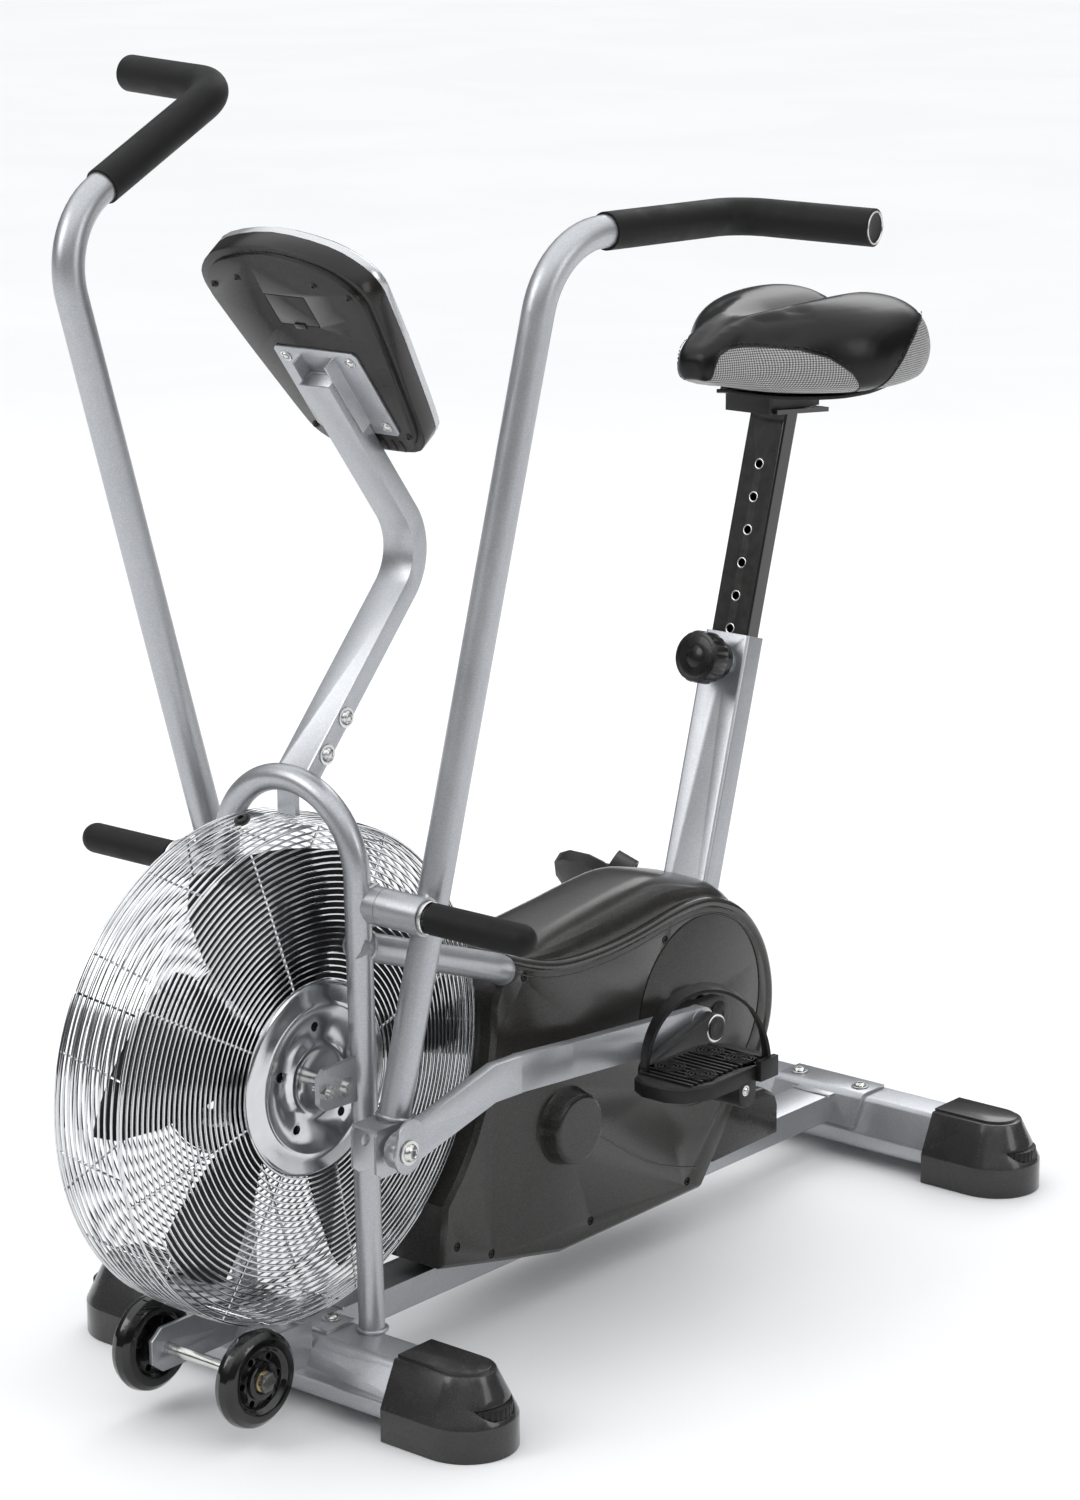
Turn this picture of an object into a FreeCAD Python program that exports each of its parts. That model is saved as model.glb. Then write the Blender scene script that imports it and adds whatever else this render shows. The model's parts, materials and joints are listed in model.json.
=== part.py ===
"""Air bike: fan-resistance exercise cycle with swinging arm levers. Millimetres."""
import FreeCAD, Part
import math
import os

V = FreeCAD.Vector
os.makedirs("parts", exist_ok=True)

# ---------------------------------------------------------------- driving dimensions
FIT = 0.06                 # radial running clearance of a shaft in its bore
GAP = 0.6                  # least air gap between parts that move past each other
WALL = 3.0                 # wall of the plastic covers

# base
BASE_HALF = 282.0          # half width of both stabilizer feet
BASE_SPREAD = 921.8        # front foot centre to rear foot centre
CAP_IN = 163.0             # inner end of an end cap
CAP_HALF_Y = 51.8          # half width of a cap at the floor
CAP_WALL_Z = 34.0          # height of the upright part of a cap
CAP_TOP_Z = 80.0
FOOT_TOP = 74.0            # top of the stabilizer tubes
BEAM_W = 49.5
BEAM_Z0 = 41.0
BEAM_Z1 = 72.3
LEVEL_R = 30.0             # levelling thumb wheel
LEVEL_X = 250.0

# transport wheels
TW_R = 50.0
TW_W = 24.0
TW_X = 71.3
TW_Y = -130.2
TW_Z = 67.8

# fan and guard
FAN_Y = -21.5
FAN_Z = 342.5
CAGE_R = 253.5
CAGE_HALF = 44.0           # half thickness of the guard at its rim
HUB_R = 97.8
HUB_X = 58.4
RINGS = 10
SPOKES = 10
BLADES = 5
BLADE_PITCH = 20.0
BLADE_TIP = 222.0
FAN_PULLEY_R = 25.0

# fork
LEG_X = 88.0
LEG_R = 13.25
PEG_Y = 21.2
PEG_Z = 517.3
SLEEVE_R = 19.0
ROD_R = 12.0
PEG_END = 301.7

# arm levers
LEVER_R = 16.0
LEVER_T = 2.0
LEVER_X = 146.5
LEVER_OFF = 30.8
LEVER_OUT = 0.0635         # outward slope of the lever tube
LEVER_BACK = 0.2167        # rearward slope of the lever tube
LEVER_LOW = -205.0
GRIP_R = 18.75
ARM_ANGLE = 25.5           # angle between the left and the right lever

# crank drive
BB_Y = 582.0
BB_Z = 262.0
PIN_R = 52.0               # throw of the link pin
PIN_ANG = 5.0
PEDAL_R = 157.0            # throw of the pedal spindle
PEDAL_ANG = -6.0
PULLEY_R = 95.0
JACK_Y = 351.0
JACK_Z = 192.0
JACK_SMALL = 20.0
JACK_LARGE = 60.0
CLEVIS_Y = -18.0
CLEVIS_Z = 292.0
PEDAL_TILT = 50.0          # toe-up tilt of the right pedal at rest

# seat
SEAT_LEAN = 16.2           # rearward lean of the seat tube
SEAT_Y = 724.0
SEAT_Z = 645.0
POST_W = 50.0
POST_D = 22.0
POST_UP = 262.0
POST_IN = 190.0
HOLE_PITCH = 36.94

# console
MAST_W = 40.0
MAST_T = 20.0
CON_Y = 88.0
CON_Z = 1000.0


# ---------------------------------------------------------------- small builders
def box(x0, x1, y0, y1, z0, z1):
    return Part.makeBox(x1 - x0, y1 - y0, z1 - z0, V(x0, y0, z0))


def xcyl(x0, x1, y, z, r):
    return Part.makeCylinder(r, x1 - x0, V(x0, y, z), V(1, 0, 0))


def zcyl(x, y, z0, z1, r):
    return Part.makeCylinder(r, z1 - z0, V(x, y, z0), V(0, 0, 1))


def prism_x(pts, x0, x1):
    """Polygon given as (y, z) pairs, extruded along X."""
    wire = Part.makePolygon([V(x0, p[0], p[1]) for p in pts] + [V(x0, pts[0][0], pts[0][1])])
    return Part.Face(wire).extrude(V(x1 - x0, 0, 0))


def prism_z(pts, z0, z1):
    """Polygon given as (x, y) pairs, extruded along Z."""
    wire = Part.makePolygon([V(p[0], p[1], z0) for p in pts] + [V(pts[0][0], pts[0][1], z0)])
    return Part.Face(wire).extrude(V(0, 0, z1 - z0))


def mirror(shape):
    return shape.mirror(V(0, 0, 0), V(1, 0, 0))


def turned(shape, y, z, deg):
    """Copy turned about the X direction through (y, z)."""
    out = shape.copy()
    out.rotate(V(0, y, z), V(1, 0, 0), deg)
    return out


def rounded_path(pts, radii):
    """Wire through pts with a tangent arc of the given radius at each inner corner."""
    edges = []
    start = pts[0]
    for i in range(1, len(pts) - 1):
        a = (pts[i - 1] - pts[i]).normalize()
        b = (pts[i + 1] - pts[i]).normalize()
        half = math.acos(max(-1, min(1, a.dot(b)))) / 2
        run = radii[i - 1] / math.tan(half)
        p0 = pts[i] + a * run
        p1 = pts[i] + b * run
        mid_dir = (a + b).normalize()
        centre = pts[i] + mid_dir * (radii[i - 1] / math.sin(half))
        pm = centre - mid_dir * radii[i - 1]
        edges.append(Part.LineSegment(start, p0).toShape())
        edges.append(Part.Arc(p0, pm, p1).toShape())
        start = p1
    edges.append(Part.LineSegment(start, pts[-1]).toShape())
    return Part.Wire(edges)


def sweep(pts, radii, r):
    path = rounded_path(pts, radii)
    d = (pts[1] - pts[0]).normalize()
    ring = Part.Wire([Part.makeCircle(r, pts[0], d)])
    return path.makePipeShell([ring], True, False)


def bar_slot(x0, x1, p, q, rp, rq):
    """Flat arm between two (y, z) points with round ends of radii rp and rq."""
    d = V(0, q[0] - p[0], q[1] - p[1])
    d.normalize()
    n = V(0, -d.z, d.y)
    pts = []
    for c, r, s in ((p, rp, 1), (q, rq, 1), (q, rq, -1), (p, rp, -1)):
        pts.append((c[0] + n.y * r * s, c[1] + n.z * r * s))
    arm = prism_x(pts, x0, x1)
    return arm.fuse([xcyl(x0, x1, p[0], p[1], rp), xcyl(x0, x1, q[0], q[1], rq)])


def one(shape):
    """Cleaned shape, as its single solid when it has just one."""
    out = shape.removeSplitter()
    return out.Solids[0] if len(out.Solids) == 1 else out


def group(shapes):
    solids = []
    for s in shapes:
        solids += s.Solids
    return Part.makeCompound(solids)


def hexnut(x0, x1, y, z, across):
    r = across / math.sqrt(3)
    pts = [(y + r * math.cos(math.radians(60 * i)), z + r * math.sin(math.radians(60 * i)))
           for i in range(6)]
    return prism_x(pts, x0, x1)


def dome_bolt(p, d, r, h):
    """Low domed bolt head sitting at p and pointing along d."""
    big = (r * r + h * h) / (2 * h)
    ball = Part.makeSphere(big, p - d * (big - h))
    disc = Part.makeCylinder(r, h + 1, p, d)
    return ball.common(disc)


def flowing(pts, steps, closed):
    """Points of a smooth curve through the given points, as a finer polyline."""
    n = len(pts)
    dim = len(pts[0])
    out = []
    spans = n if closed else n - 1
    for i in range(spans):
        q = []
        for k in (-1, 0, 1, 2):
            j = (i + k) % n if closed else min(max(i + k, 0), n - 1)
            q.append(pts[j])
        for s in range(steps):
            t = s / steps
            row = []
            for d in range(dim):
                a, b, c, e = q[0][d], q[1][d], q[2][d], q[3][d]
                row.append(b + 0.5 * t * (c - a + t * (2 * a - 5 * b + 4 * c - e + t * (3 * (b - c) + e - a))))
            out.append(tuple(row))
    if not closed:
        out.append(tuple(pts[-1]))
    return out


parts = {}

# ---------------------------------------------------------------- stabilizers and beam
FOOT_PTS = [(-44.0, 16.0), (-44.0, 36.0), (-23.0, FOOT_TOP), (23.0, FOOT_TOP), (44.0, 36.0), (44.0, 16.0)]
FOOT_END = 205.0


def foot_solid(cy, grow, half):
    pts = []
    for y, z in FOOT_PTS:
        pts.append((cy + y + (grow if y > 0 else -grow), z + (grow if z > 20 else -grow)))
    body = prism_x(pts, -half, half)
    edges = [e for e in body.Edges if abs(e.Vertexes[0].X - e.Vertexes[-1].X) > half]
    return body.makeFillet(9.0 + grow, edges)


def foot_tube(cy):
    return foot_solid(cy, 0, FOOT_END).cut(foot_solid(cy, -2.5, FOOT_END + 1))


def wheel_plate(x0, x1):
    pts = [(-30, 46), (-30, 88), (-60, 91), (-138, 91), (-152, 80), (-152, 56), (-138, 45), (-60, 45)]
    plate = prism_x(pts, x0, x1)
    return plate.cut(xcyl(x0 - 1, x1 + 1, TW_Y, TW_Z, 6.0))


front_tube = foot_tube(0.0)
front_outer = foot_solid(0.0, 0, FOOT_END)
plates = [wheel_plate(48, 53), wheel_plate(-53, -48)]
plates = [p.cut(front_outer) for p in plates]
parts["front_stabilizer"] = one(front_tube.fuse(plates))
parts["rear_stabilizer"] = one(foot_tube(BASE_SPREAD))
rear_outer = foot_solid(BASE_SPREAD, 0, FOOT_END)

beam = box(-BEAM_W / 2, BEAM_W / 2, 20, 900, BEAM_Z0, BEAM_Z1)
beam_hole = box(-BEAM_W / 2 + 2.5, BEAM_W / 2 - 2.5, 19, 901, BEAM_Z0 + 2.5, BEAM_Z1 - 2.5)
beam = beam.cut(beam_hole).cut([front_outer, rear_outer])
beam_outer = box(-BEAM_W / 2, BEAM_W / 2, -60, 960, BEAM_Z0, BEAM_Z1)


def saddle_plate(cy, inner, half_x):
    """Bent plate welded over a stabilizer tube, on the beam side."""
    skin = foot_solid(cy, 4.0, half_x).cut(foot_solid(cy, 0.0, half_x + 5))
    y0, y1 = (cy - 18, cy + 60) if inner > 0 else (cy - 60, cy + 18)
    return skin.common(box(-half_x, half_x, y0, y1, 42, 90))


front_saddle = saddle_plate(0.0, 1, 62.0).cut(beam_outer)
rear_saddle = saddle_plate(BASE_SPREAD, -1, 62.0).cut(beam_outer)
SADDLE_TOP = FOOT_TOP + 4.0

# ---------------------------------------------------------------- end caps and levellers


def cap_outline(z, inset):
    hy = CAP_HALF_Y - inset
    hx = BASE_HALF - 55.0
    a = Part.LineSegment(V(CAP_IN, hy, z), V(CAP_IN, -hy, z)).toShape()
    b = Part.LineSegment(V(CAP_IN, -hy, z), V(hx, -hy, z)).toShape()
    rx = 55.0 - inset
    if rx >= hy:
        ell = Part.Ellipse(V(hx + rx, 0, z), V(hx, hy, z), V(hx, 0, z))
        arc = Part.ArcOfEllipse(ell, -math.pi / 2, math.pi / 2).toShape()
    else:
        ell = Part.Ellipse(V(hx, hy, z), V(hx + rx, 0, z), V(hx, 0, z))
        arc = Part.ArcOfEllipse(ell, -math.pi, 0).toShape()
    c = Part.LineSegment(V(hx, hy, z), V(CAP_IN, hy, z)).toShape()
    return Part.Wire(Part.__sortEdges__([a, b, arc, c]))


def level_wheel():
    wheel = zcyl(LEVEL_X, 0, 39.5, 50.5, LEVEL_R)
    for i in range(30):
        a = math.radians(12 * i)
        wheel = wheel.cut(zcyl(LEVEL_X + (LEVEL_R + 0.8) * math.cos(a), (LEVEL_R + 0.8) * math.sin(a), 39, 51, 1.6))
    stem = zcyl(LEVEL_X, 0, 4.0, 40.0, 5.0)
    foot = zcyl(LEVEL_X, 0, 1.0, 5.0, 11.0)
    return one(wheel.fuse([stem, foot]))


def end_cap():
    low = Part.Face(cap_outline(0, 0)).extrude(V(0, 0, CAP_WALL_Z))
    top = Part.makeLoft([cap_outline(CAP_WALL_Z, 0), cap_outline(CAP_TOP_Z, 22.0)], True, True)
    land = Part.Face(cap_outline(CAP_TOP_Z - 1, 27.0)).extrude(V(0, 0, 4.0))
    body = low.fuse([top, land])
    body = body.cut(foot_solid(0, 0, FOOT_END + GAP))
    body = body.cut(zcyl(LEVEL_X, 0, 39.5 - GAP, 50.5 + GAP, LEVEL_R + GAP))
    body = body.cut(zcyl(LEVEL_X, 0, 5.0, 45.0, 5.0 + GAP))
    body = body.cut(zcyl(LEVEL_X, 0, -1.0, 5.0 + GAP, 11.0 + GAP))
    return one(body)


cap = end_cap()
lev = level_wheel()
caps = []
for label, cy in (("front", 0.0), ("rear", BASE_SPREAD)):
    for side, flip in (("left", False), ("right", True)):
        c = mirror(cap) if flip else cap.copy()
        w = mirror(lev) if flip else lev.copy()
        c.translate(V(0, cy, 0))
        w.translate(V(0, cy, 0))
        caps.append(c)
        parts["leveller_%s_%s" % (label, side)] = w
parts["end_caps"] = group(caps)

# ---------------------------------------------------------------- transport wheels


def transport_wheel(cx):
    h = TW_W / 2
    prof = [(FIT + 6.0, -h), (19, -h), (19, -h + 5), (30, -h + 5), (34, -h), (42, -h), (48, -h + 5), (TW_R, 0),
            (48, h - 5), (42, h), (34, h), (30, h - 5), (19, h - 5), (19, h), (FIT + 6.0, h)]
    wire = Part.makePolygon([V(a, 0, r) for r, a in prof] + [V(prof[0][1], 0, prof[0][0])])
    body = Part.Face(wire).revolve(V(0, 0, 0), V(1, 0, 0), 360)
    for i in range(6):
        ang = math.radians(60 * i)
        body = body.cut(xcyl(-h, h, 24.5 * math.cos(ang), 24.5 * math.sin(ang), 3.6))
    body.translate(V(cx, TW_Y, TW_Z))
    return one(body)


parts["transport_wheel_left"] = transport_wheel(TW_X)
parts["transport_wheel_right"] = transport_wheel(-TW_X)
WR = TW_X + TW_W / 2
rod = xcyl(-WR - 6, WR + 6, TW_Y, TW_Z, 6.0)
ends = [hexnut(WR + 1.0, WR + 6.5, TW_Y, TW_Z, 18), hexnut(-WR - 6.5, -WR - 1.0, TW_Y, TW_Z, 18)]
ends.append(xcyl(53, TW_X - TW_W / 2 - 0.6, TW_Y, TW_Z, 9))
ends.append(xcyl(-TW_X + TW_W / 2 + 0.6, -53, TW_Y, TW_Z, 9))
parts["wheel_axle"] = one(rod.fuse(ends))

# ---------------------------------------------------------------- fork hoop, stubs, axle brackets


def leg_y(z):
    return 20.0 - 10.0 * (z - 74.0) / 469.0


HOOP_Z = 543.0


def hoop(r):
    p0 = V(LEG_X, leg_y(60), 60)
    p1 = V(LEG_X, leg_y(HOOP_Z), HOOP_Z)
    p2 = V(0, leg_y(HOOP_Z + LEG_X), HOOP_Z + LEG_X)
    p3 = V(-LEG_X, leg_y(HOOP_Z), HOOP_Z)
    p4 = V(-LEG_X, leg_y(60), 60)
    path = Part.Wire([Part.LineSegment(p0, p1).toShape(), Part.Arc(p1, p2, p3).toShape(),
                      Part.LineSegment(p3, p4).toShape()])
    ring = Part.Wire([Part.makeCircle(r, p0, p1 - p0)])
    return path.makePipeShell([ring], True, False)


hoop_solid = hoop(LEG_R)
stub = xcyl(LEG_X - 4, 114.4, PEG_Y, PEG_Z, SLEEVE_R)
bracket = prism_x([(12, 320), (12, 366), (-44, 364), (-52, 356), (-52, 330), (-44, 322)], 85, 91)
bracket = bracket.cut(xcyl(80, 96, FAN_Y, FAN_Z, 6.0))
bracket = bracket.cut(xcyl(80, 96, -44, FAN_Z, 3.0))
gusset = prism_x([(12, 458), (12, 494), (24, 494), (24, 458)], 84, 92)
side = [stub, bracket]
fork = hoop_solid.fuse(side + [mirror(s) for s in side])
tab = box(-12, 12, leg_y(620) - 3, leg_y(620) + 3, 590, 622)
fork = fork.fuse(tab)
fork = fork.cut(hoop(LEG_R - 2.2))
fork = fork.cut([front_outer, xcyl(-120, 120, PEG_Y, PEG_Z, ROD_R)])
cage_keepout = xcyl(-CAGE_HALF - 3, CAGE_HALF + 3, FAN_Y, FAN_Z, CAGE_R)
fork = fork.cut(cage_keepout)
parts["fork_hoop"] = one(max(fork.Solids, key=lambda s: s.Volume))
front_saddle = front_saddle.cut(hoop(LEG_R))
parts["main_beam"] = one(beam.fuse([front_saddle, rear_saddle]))

bolts = []
for bx, by in ((44.0, 8.0), (-44.0, 8.0)):
    bolts.append(dome_bolt(V(bx, by, SADDLE_TOP), V(0, 0, 1), 7.0, 4.5))
for bx in (44.0, -44.0):
    bolts.append(dome_bolt(V(bx, BASE_SPREAD - 6.0, SADDLE_TOP), V(0, 0, 1), 7.0, 4.5))
parts["stabilizer_bolts"] = group(bolts)

# ---------------------------------------------------------------- foot pegs


def peg_rod():
    rod = xcyl(86, 292, PEG_Y, PEG_Z, ROD_R)
    ring = xcyl(168.6, 173.0, PEG_Y, PEG_Z, 15.5)
    return rod.fuse(ring)


def peg_foam():
    tip = PEG_END - 15.7
    body = xcyl(176, tip, PEG_Y, PEG_Z, 15.7)
    ball = Part.makeSphere(15.7, V(tip, PEG_Y, PEG_Z))
    return one(body.fuse(ball).cut(xcyl(170, 292, PEG_Y, PEG_Z, ROD_R)))


rod = one(peg_rod())
foam = peg_foam()
parts["peg_rods"] = group([rod, mirror(rod)])
parts["peg_foams"] = group([foam, mirror(foam)])

# ---------------------------------------------------------------- frame inside the covers
POST_Y0 = 290.0
POST_Y1 = 315.0


def braces():
    pts = [V(LEG_X, 4, 479), V(LEG_X, 222, 402), V(14, 305, 358)]
    tube = sweep(pts, [60], 14.5).cut(sweep(pts, [60], 12.3))
    return tube, sweep(pts, [60], 14.5)


brace, brace_full = braces()
mid_outer = box(-20, 20, POST_Y0, POST_Y1, BEAM_Z1, 372)
mid = mid_outer.cut(box(-17.5, 17.5, POST_Y0 + 2.5, POST_Y1 - 2.5, BEAM_Z1 - 1, 369.5))
ear = bar_slot(20, 24, (POST_Y0 + 8, JACK_Z), (JACK_Y, JACK_Z), 20, 17)
mid = mid.fuse([ear, mirror(ear)])
mid = mid.cut(xcyl(-30, 30, JACK_Y, JACK_Z, 7.5 + FIT))
parts["mid_post"] = one(mid)
brace = brace.cut([mid_outer, hoop(LEG_R)])
brace = max(brace.Solids, key=lambda s: s.Volume)
parts["brace_tubes"] = group([brace, mirror(brace)])

LEAN = math.radians(SEAT_LEAN)
UP = V(0, math.sin(LEAN), math.cos(LEAN))
BACK = V(0, math.cos(LEAN), -math.sin(LEAN))
SEAT_O = V(0, SEAT_Y, SEAT_Z)


def seat_box(hx, a0, a1, s0, s1):
    """Box in the seat tube frame: half width, fore-aft span a, span s along the tube."""
    b = Part.makeBox(2 * hx, a1 - a0, s1 - s0, V(-hx, a0, s0))
    m = FreeCAD.Matrix(1, 0, 0, 0, 0, BACK.y, UP.y, SEAT_Y, 0, BACK.z, UP.z, SEAT_Z, 0, 0, 0, 1)
    return b.transformGeometry(m)


def seat_pt(x, a, s):
    return SEAT_O + V(x, 0, 0) + BACK * a + UP * s


def seat_bar(hx, hd, s0, s1, r):
    """Rounded rectangular bar in the seat tube frame."""
    b = Part.makeBox(2 * hx, 2 * hd, s1 - s0, V(-hx, -hd, s0))
    b = b.makeFillet(r, [e for e in b.Edges if abs(e.Vertexes[0].Z - e.Vertexes[-1].Z) > 1])
    pl = FreeCAD.Placement(SEAT_O, FreeCAD.Rotation(V(1, 0, 0), -SEAT_LEAN))
    b.Placement = pl
    return b


tube_out = seat_bar(30, 15, -640, 5, 4)
tube_in = seat_bar(28, 13, -640, 6, 2.5)
seat_tube = tube_out.cut(tube_in)
bb_shell = xcyl(-31, 31, BB_Y, BB_Z, 22)
seat_tube = seat_tube.cut(xcyl(-31, 31, BB_Y, BB_Z, 21)).fuse(bb_shell)
seat_tube = seat_tube.cut(xcyl(-40, 40, BB_Y, BB_Z, 8.5 + FIT))
seat_tube = seat_tube.cut(box(-60, 60, 400, 700, -50, BEAM_Z1))
PIN_S = -27.2
seat_tube = seat_tube.cut(Part.makeCylinder(6.5, 20, seat_pt(0, -25, PIN_S), BACK))
parts["seat_tube"] = one(max(seat_tube.Solids, key=lambda s: s.Volume))

liner = seat_bar(28, 13, -140, 5, 2.5).cut(seat_bar(POST_W / 2 + 0.35, POST_D / 2 + 0.35, -150, 10, 1.5))
liner = liner.cut(Part.makeCylinder(6.5, 20, seat_pt(0, -25, PIN_S), BACK))
parts["seat_liner"] = one(liner)

# ---------------------------------------------------------------- seat post, pan and cushion
post = seat_bar(POST_W / 2, POST_D / 2, -POST_IN, POST_UP, 2.5)
post = post.cut(seat_bar(POST_W / 2 - 2.5, POST_D / 2 - 2.5, -POST_IN - 1, POST_UP - 4, 1))
for i in range(-3, 6):
    hole = Part.makeCylinder(5.0, 8, seat_pt(0, -16, PIN_S + HOLE_PITCH * (i + 1)), BACK)
    post = post.cut(hole)
head = Part.makeBox(70, 96, 5, V(-35, -48, 0))
head.Placement = FreeCAD.Placement(seat_pt(0, 0, POST_UP) + V(0, 4, -6), FreeCAD.Rotation(V(1, 0, 0), -5))
post = post.fuse(head)
parts["seat_post"] = one(post)

SEAT_SECT = [
    # y, half width, bottom z, edge z, top z, channel depth
    (640, 16, 944, 958, 966, 0),
    (652, 28, 938, 962, 983, 0),
    (675, 37, 932, 964, 997, 1),
    (705, 51, 926, 962, 1005, 2),
    (740, 78, 920, 958, 1010, 4),
    (780, 112, 916, 955, 1014, 7),
    (820, 130, 914, 954, 1017, 9),
    (865, 134, 914, 954, 1018, 10),
    (910, 128, 917, 955, 1015, 9),
    (945, 108, 924, 957, 1006, 6),
    (968, 78, 934, 958, 993, 3),
    (980, 44, 945, 961, 978, 0),
]


def seat_section(y, w, zb, ze, zt, ch):
    pts = [V(0, y, zb), V(-w * 0.7, y, zb), V(-w * 0.95, y, zb + (ze - zb) * 0.3), V(-w, y, ze)]
    pts += [V(-w * 0.86, y, ze + (zt - ze) * 0.72), V(-w * 0.48, y, zt), V(-w * 0.2, y, zt - ch * 0.6)]
    pts += [V(0, y, zt - ch)]
    pts += [V(-p.x, p.y, p.z) for p in reversed(pts[1:7])]
    curve = Part.BSplineCurve()
    curve.interpolate(Points=[pts[i] for i in range(1, len(pts))] + [pts[0]], PeriodicFlag=True)
    return Part.Wire([curve.toShape()])


cushion = Part.makeLoft([seat_section(*s) for s in SEAT_SECT], True, False)
SEAT_TILT = V(0, math.cos(math.radians(5)), -math.sin(math.radians(5)))


def seat_plan(inset, z0, z1):
    pts = [(0, 652)]
    left = []
    for y, w, zb, ze, zt, ch in SEAT_SECT[3:-2]:
        left.append((w * 0.82 - inset, y))
    pts = [(p[0], p[1]) for p in left] + [(-p[0], p[1]) for p in reversed(left)]
    return prism_z(pts, z0, z1)


pan_slab = seat_plan(30.0, 800, 1000)
lift = cushion.copy()
lift.translate(V(0, 0, -4.0))
pan = lift.common(pan_slab).cut(cushion)
pan = max(pan.Solids, key=lambda s: s.Volume)
post_zone = parts["seat_post"]
pedestal = box(-30, 30, 745, 838, 895, 930).cut(cushion)
pedestal = max(pedestal.Solids, key=lambda s: s.Volume)
pan = pan.fuse(pedestal).cut(post_zone)
pan = pan.cut(seat_bar(POST_W / 2, POST_D / 2, 0, POST_UP - 1, 2.5))
parts["saddle_pan"] = one(max(pan.Solids, key=lambda s: s.Volume))
parts["saddle_cushion"] = one(cushion)

# ---------------------------------------------------------------- seat lock
face_a = -15.0
collar = Part.makeCylinder(14.0, 15.0, seat_pt(0, face_a, PIN_S), BACK * -1)
collar = collar.fuse(Part.makeCylinder(6.5, 4.0, seat_pt(0, face_a + 4, PIN_S), BACK * -1))
collar = collar.cut(Part.makeCylinder(5.2, 40, seat_pt(0, face_a + 6, PIN_S), BACK * -1))
parts["lock_collar"] = one(collar)
knob = Part.makeCylinder(22.0, 20, seat_pt(0, face_a - 9, PIN_S), BACK * -1)
knob = knob.fuse(Part.makeCylinder(29.0, 24, seat_pt(0, face_a - 26, PIN_S), BACK * -1))
knob = knob.makeFillet(3.0, [e for e in knob.Edges if e.Length > 170 and e.BoundBox.YMin < SEAT_Y - 62])
knob = knob.cut(Part.makeCylinder(14.0 + 0.5, 8.5, seat_pt(0, face_a - 9, PIN_S), BACK * -1))
nose = -POST_D / 2 - 0.5
pin_len = abs(face_a - 30 - nose)
knob = knob.fuse(Part.makeCylinder(4.9, pin_len, seat_pt(0, nose, PIN_S), BACK * -1))
parts["lock_knob"] = one(knob)

# ---------------------------------------------------------------- jackshaft, pulleys and belts


def grooved(x0, x1, y, z, r):
    """Pulley with a flat belt seat between two low flanges."""
    body = xcyl(x0, x1, y, z, r)
    f = 1.5
    return body.fuse([xcyl(x0, x0 + f, y, z, r + 3), xcyl(x1 - f, x1, y, z, r + 3)])


B1X0, B1X1 = 34.0, 46.0
B2X0, B2X1 = -40.0, -28.0
jack = xcyl(-49, 49, JACK_Y, JACK_Z, 7.5)
jack = jack.fuse([grooved(B1X0, B1X1, JACK_Y, JACK_Z, JACK_SMALL), grooved(B2X0, B2X1, JACK_Y, JACK_Z, JACK_LARGE)])
parts["jackshaft"] = one(jack)


def belt(x0, x1, ya, za, ra, yb, zb, rb):
    """Flat belt round two pulleys, clear of both by a thin gap."""
    th = 2.2
    lift_by = 0.35

    def hull(extra):
        d = math.hypot(yb - ya, zb - za)
        ang = math.atan2(zb - za, yb - ya)
        off = math.acos((ra - rb) / d)
        pts = []
        for c, r, s in (((ya, za), ra, 1), ((yb, zb), rb, 1), ((yb, zb), rb, -1), ((ya, za), ra, -1)):
            t = ang + off * s
            pts.append((c[0] + (r + extra) * math.cos(t), c[1] + (r + extra) * math.sin(t)))
        out = prism_x(pts, x0, x1)
        return out.fuse([xcyl(x0, x1, ya, za, ra + extra), xcyl(x0, x1, yb, zb, rb + extra)])

    return one(hull(lift_by + th).cut(hull(lift_by)))


parts["crank_belt"] = belt(B1X0 + 2.2, B1X1 - 2.2, JACK_Y, JACK_Z, JACK_SMALL, BB_Y, BB_Z, PULLEY_R)
parts["fan_belt"] = belt(B2X0 + 2.2, B2X1 - 2.2, FAN_Y, FAN_Z, FAN_PULLEY_R, JACK_Y, JACK_Z, JACK_LARGE)

# ---------------------------------------------------------------- crank set
axle = xcyl(-91, 91, BB_Y, BB_Z, 8.5)
wheel = grooved(B1X0, B1X1, BB_Y, BB_Z, PULLEY_R)
for i in range(6):
    a = math.radians(60 * i + 30)
    wheel = wheel.cut(xcyl(B1X0 - 1, B1X1 + 1, BB_Y + 56 * math.cos(a), BB_Z + 56 * math.sin(a), 19))
parts["crank_axle"] = one(axle.fuse(wheel))


def polar(r, deg):
    """Point at throw r, measured from straight ahead and upwards."""
    a = math.radians(deg)
    return (BB_Y - r * math.cos(a), BB_Z + r * math.sin(a))


pin_yz = polar(PIN_R, PIN_ANG)
ped_yz = polar(PEDAL_R, PEDAL_ANG)


def crank_side():
    inner = bar_slot(76, 90, (BB_Y, BB_Z), pin_yz, 20, 16)
    outer = bar_slot(112, 126, pin_yz, ped_yz, 16, 13)
    pin = xcyl(80, 124, pin_yz[0], pin_yz[1], 8)
    spacers = [xcyl(90, 93.2, pin_yz[0], pin_yz[1], 12), xcyl(108.8, 112, pin_yz[0], pin_yz[1], 12)]
    spindle = xcyl(124, 246, ped_yz[0], ped_yz[1], 6)
    shoulder = xcyl(126, 150, ped_yz[0], ped_yz[1], 9)
    dust = xcyl(126, 129, pin_yz[0], pin_yz[1], 13)
    arm = inner.fuse([outer, pin, spindle, shoulder, dust] + spacers)
    arm = arm.cut(xcyl(70, 92, BB_Y, BB_Z, 8.5))
    for s in (-7, 7):
        arm = arm.cut(xcyl(127, 130, pin_yz[0] + s * 0.5, pin_yz[1] + s, 1.6))
    return one(arm)


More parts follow.
